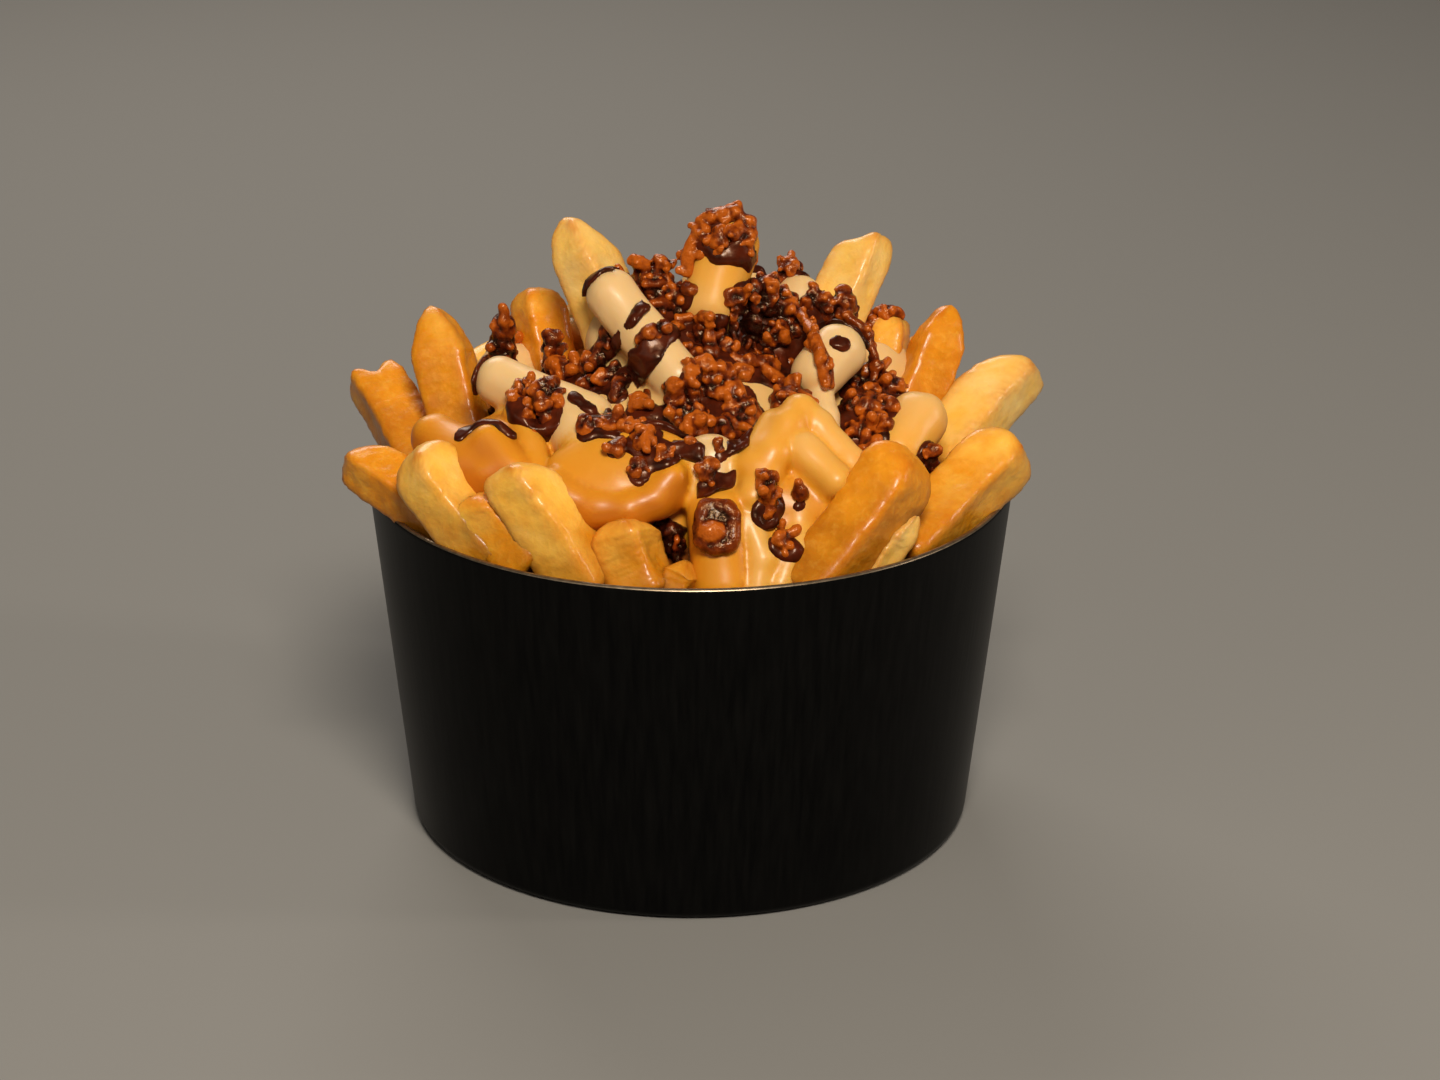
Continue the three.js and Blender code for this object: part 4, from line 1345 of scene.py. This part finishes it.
def add_nodule(field, rng, centre, radius, tone):
    """One craggy crumb: an uneven lump or a short bent rod, with knobs on it."""
    if rng.random() < ROD_SHARE:
        way = random_way(rng) * radius * rng.uniform(1.0, 2.0)
        bend = random_way(rng) * radius * 0.6
        add_rod(field, [centre - way, centre + bend, centre + way], radius * 0.72, tone, 0.4)
    else:
        half = radius * rng.uniform(0.7, 1.3, 3)
        lump = turned_ellipsoid_shape(centre, half, random_turn(rng))
        field.add(box_round([centre], radius * 1.4), lump, tone, 0.35)
    for _ in range(KNOB_COUNT):
        place = centre + random_way(rng) * radius * rng.uniform(0.7, 0.92)
        knob = radius * rng.uniform(*KNOB_SHARE)
        add_knob(field, place, knob, tone + rng.uniform(-KNOB_VARIETY, KNOB_VARIETY))


def add_heap(field, rng, ground_at, middle, width, tone):
    """A heap of crumbs about its middle, filled below down to what carries it."""
    middle = np.array(middle, float)
    if ground_at(*middle) < middle[2] + MOST_LIFT:
        half = width * HEAP_CORE * rng.uniform(0.8, 1.15, 3)
        core = turned_ellipsoid_shape(middle, half, random_turn(rng))
        field.add(box_round([middle], width * HEAP_CORE * 1.3), core, tone * 0.7, 0.6)
    count = max(3, round((width / NODULE_SPACING) ** 2))
    for k in range(count):
        radius = rng.uniform(*NODULE_RADII)
        spread = max(0.0, width / 2 - radius) * ((k + 0.5) / count) ** 0.35
        centre = middle + random_way(rng) * spread * np.array([1, 0.9, 0.8])
        ground = ground_at(*centre)
        if ground > centre[2] + MOST_LIFT:
            continue
        centre[2] = max(centre[2], ground + 0.3 * radius)
        own = float(np.clip(tone + rng.uniform(-CRUMB_VARIETY, CRUMB_VARIETY), 0, 1))
        add_nodule(field, rng, centre, radius, own)
        # Crumbs filled in below the top are painted darker, as shade.
        low = centre[2] - 1.6 * radius
        while low > ground + 0.3 * radius and low < middle[2] - width / 4:
            add_nodule(field, rng, np.array([centre[0], centre[1], low]), radius, own * 0.6)
            low -= 1.6 * radius


def add_scatter(field, rng, height, mask, strewn):
    """Crumbs strewn wherever dark sauce covers the heap."""
    for (x, y), (half_x, half_y) in SAUCE_PATCHES:
        for _ in range(round(math.pi * half_x * half_y / SCATTER_AREA)):
            angle = rng.uniform(0, 2 * math.pi)
            share = math.sqrt(rng.random())
            away = (half_x * share * math.cos(angle), half_y * share * math.sin(angle))
            place = np.array([x + away[0], y + away[1], 0.0])
            place[2] = height(place[0], place[1])
            radius = rng.uniform(*NODULE_RADII)
            tone = rng.uniform(0.1, 0.95)
            hollow = any(math.dist(place[:2], middle) < reach for middle, reach in HOLLOWS)
            if not hollow and mask.sample(strewn, place[None])[0] < -SCATTER_INSET:
                add_nodule(field, rng, place + np.array([0, 0, 0.5 * radius]), radius, tone)


def add_strips(field, rng):
    """Long bacon-like strips with knobs along them."""
    for radius, tone, places in STRIPS:
        places = [np.array(place, float) for place in places]
        add_rod(field, places, radius, tone, 0.6)
        for start, end in zip(places[:-1], places[1:]):
            for share in np.linspace(0, 1, 7):
                place = between(start, end, share) + rng.normal(size=3) * radius * 0.6
                knob = rng.uniform(0.6, 1.1)
                add_knob(field, place, knob, tone + rng.uniform(-KNOB_VARIETY, KNOB_VARIETY))


# The glazed ring: the radius of its rod, its steps and how square it is, where its lump lies from its
# middle, and the lump's half sizes.
RING_ROD = 1.6
RING_STEPS = 16
RING_SQUARE = 0.6
RING_LUMP_OFF = (-1.3, -1.7, -0.9)
RING_LUMP_HALF = (3.1, 2.6, 2.7)


def add_ring_lump(field):
    """A squarish glazed ring with a smooth orange lump low in it."""
    (x, y, z), half_width, half_height = RING_LUMP
    ring = []
    for k in range(RING_STEPS + 1):
        angle = k / RING_STEPS * 2 * math.pi
        parts = (math.cos(angle), math.sin(angle))
        across, rise = (math.copysign(abs(part) ** RING_SQUARE, part) for part in parts)
        across *= half_width - RING_ROD
        rise *= half_height - RING_ROD
        ring.append(np.array([x + across, y + RING_LEAN * rise, z + rise]))
    add_rod(field, ring, RING_ROD, 0.22, 0.8)
    back = ellipsoid_shape((x, y + 1.2, z), (half_width - 1.5, 1.6, half_height - 1.5))
    field.add(box_round([(x, y, z)], half_width + 1), back, 0.1, 0.8)
    middle = tuple(a + b for a, b in zip((x, y, z), RING_LUMP_OFF))
    field.add(box_round([middle], 5), ellipsoid_shape(middle, RING_LUMP_HALF), 0.85, 0.6)


def depth_under(field, height, vertices):
    """How far each point lies below the heap's top, levelled over the depth's reach."""
    top = field.top()
    axes = [field.low[i] + field.step * np.arange(field.size[i]) for i in (0, 1)]
    bare = np.isnan(top)
    top[bare] = [height(axes[0][i], axes[1][j]) for i, j in np.argwhere(bare)]
    away = np.arange(-2 * DEPTH_REACH, 2 * DEPTH_REACH + field.step, field.step)
    weight = np.exp(-(away / DEPTH_REACH) ** 2)
    for axis in (0, 1):
        spread = np.apply_along_axis(np.convolve, axis, top, weight, "same")
        share = np.apply_along_axis(np.convolve, axis, np.ones_like(top), weight, "same")
        top = spread / share
    index = np.rint((vertices[:, :2] - field.low[:2]) / field.step).astype(int)
    index = np.clip(index, 0, field.size[:2] - 1)
    return np.clip(top[index[:, 0], index[:, 1]] - vertices[:, 2], *DEPTH_RANGE)


def make_crumbs(height_at, ground_at, mask, strewn, material):
    """Craggy crumbs in two kinds: the dark glazed ones, and the orange ones with the strips and the ring."""
    for name, dark, seed in (("crumbs", False, 41), ("dark_crumbs", True, 43)):
        field = Field(CRUMB_LOW, CRUMB_HIGH, CRUMB_STEP, far=3.0)
        rng = np.random.default_rng(seed)
        for middle, width, tone in CRUMB_HEAPS:
            if (tone < DARK_BELOW) == dark:
                add_heap(field, rng, ground_at, middle, width, tone)
        if dark:
            for (x, y), width, tone in BACK_CRUMBS:
                add_heap(field, rng, ground_at, (x, y, height_at(x, y) + 1.5), width, tone)
        else:
            add_scatter(field, rng, height_at, mask, strewn)
            add_strips(field, rng)
            add_ring_lump(field)
        field.value += sum(height * field.noise(size, seed + more) for size, more, height in CRUMB_GRAIN)
        vertices, faces = field.mesh()
        fine, _ = bulge(vertices, faces, 1, 1)
        broad, _ = bulge(vertices, faces, 14, 1)
        # The orange tone takes painted light on what stands out and painted shade in hollows and under the
        # heap's top.
        tone = field.sample(field.tone, vertices) + FINE_SHADE * fine + BROAD_SHADE * broad
        tone = tone - DEPTH_SHADE * depth_under(field, height_at, vertices) - CRUMB_SHADE
        nodes = [] if dark else [f"chunk_{n + 1}" for n in range(CHUNKS)]
        piece = mesh_piece(name, vertices, faces, [material], "crumbs", *nodes)
        add_attribute(piece, "orange", np.clip(tone, 0, 1))


# The studio.

def make_floor():
    mesh = bpy.data.meshes.new("floor")
    corners = [(x * FLOOR_HALF, y * FLOOR_HALF, 0) for x, y in ((-1, -1), (1, -1), (1, 1), (-1, 1))]
    mesh.from_pydata(corners, [], [(0, 1, 2, 3)])
    floor = link(bpy.data.objects.new("floor", mesh))
    mesh.materials.append(floor_material())


def make_lights():
    for name, place, size, power, colour in LAMPS:
        light = bpy.data.lights.new(name, "AREA")
        light.energy = power
        light.shape = "RECTANGLE"
        light.size, light.size_y = size
        light.color = colour
        lamp = link(bpy.data.objects.new(name, light))
        lamp.location = place
        lamp.rotation_euler = (Vector(LAMP_AIM) - Vector(place)).to_track_quat("-Z", "Y").to_euler()
    world = bpy.data.worlds.new("studio")
    bpy.context.scene.world = world
    world.use_nodes = True
    background = world.node_tree.nodes["Background"]
    background.inputs["Color"].default_value = SKY_COLOUR
    background.inputs["Strength"].default_value = SKY_STRENGTH


def make_camera():
    elevation = math.radians(CAMERA_ELEVATION)
    data = bpy.data.cameras.new("camera")
    data.lens = CAMERA_LENS
    data.sensor_width = 36.0
    camera = link(bpy.data.objects.new("camera", data))
    back = Vector((0, -math.cos(elevation), math.sin(elevation)))
    roll = Matrix.Rotation(math.radians(CAMERA_ROLL), 3, "Z")
    turn = Euler((math.pi / 2 - elevation, 0, 0)).to_matrix() @ roll
    place = (Vector(CAMERA_AIM) + back * CAMERA_DISTANCE) * MM
    camera.matrix_world = Matrix.Translation(place) @ turn.to_4x4()
    bpy.context.scene.camera = camera


make_camera()
make_lights()
make_floor()
make_tub()
fried = fries_material()
make_fries(fried)
make_packed_fries(fried)
cheese = cheese_field()
surface = height_map(cheese)
make_cheese(cheese, cheese_material())
mask, strewn = sauce_mask(surface)
make_dark_sauce(cheese, mask, sauce_material())
make_crumbs(surface, ground_finder(cheese), mask, strewn, crumb_material())

bpy.context.scene.view_settings.view_transform = "Standard"
bpy.context.scene.view_settings.look = "None"
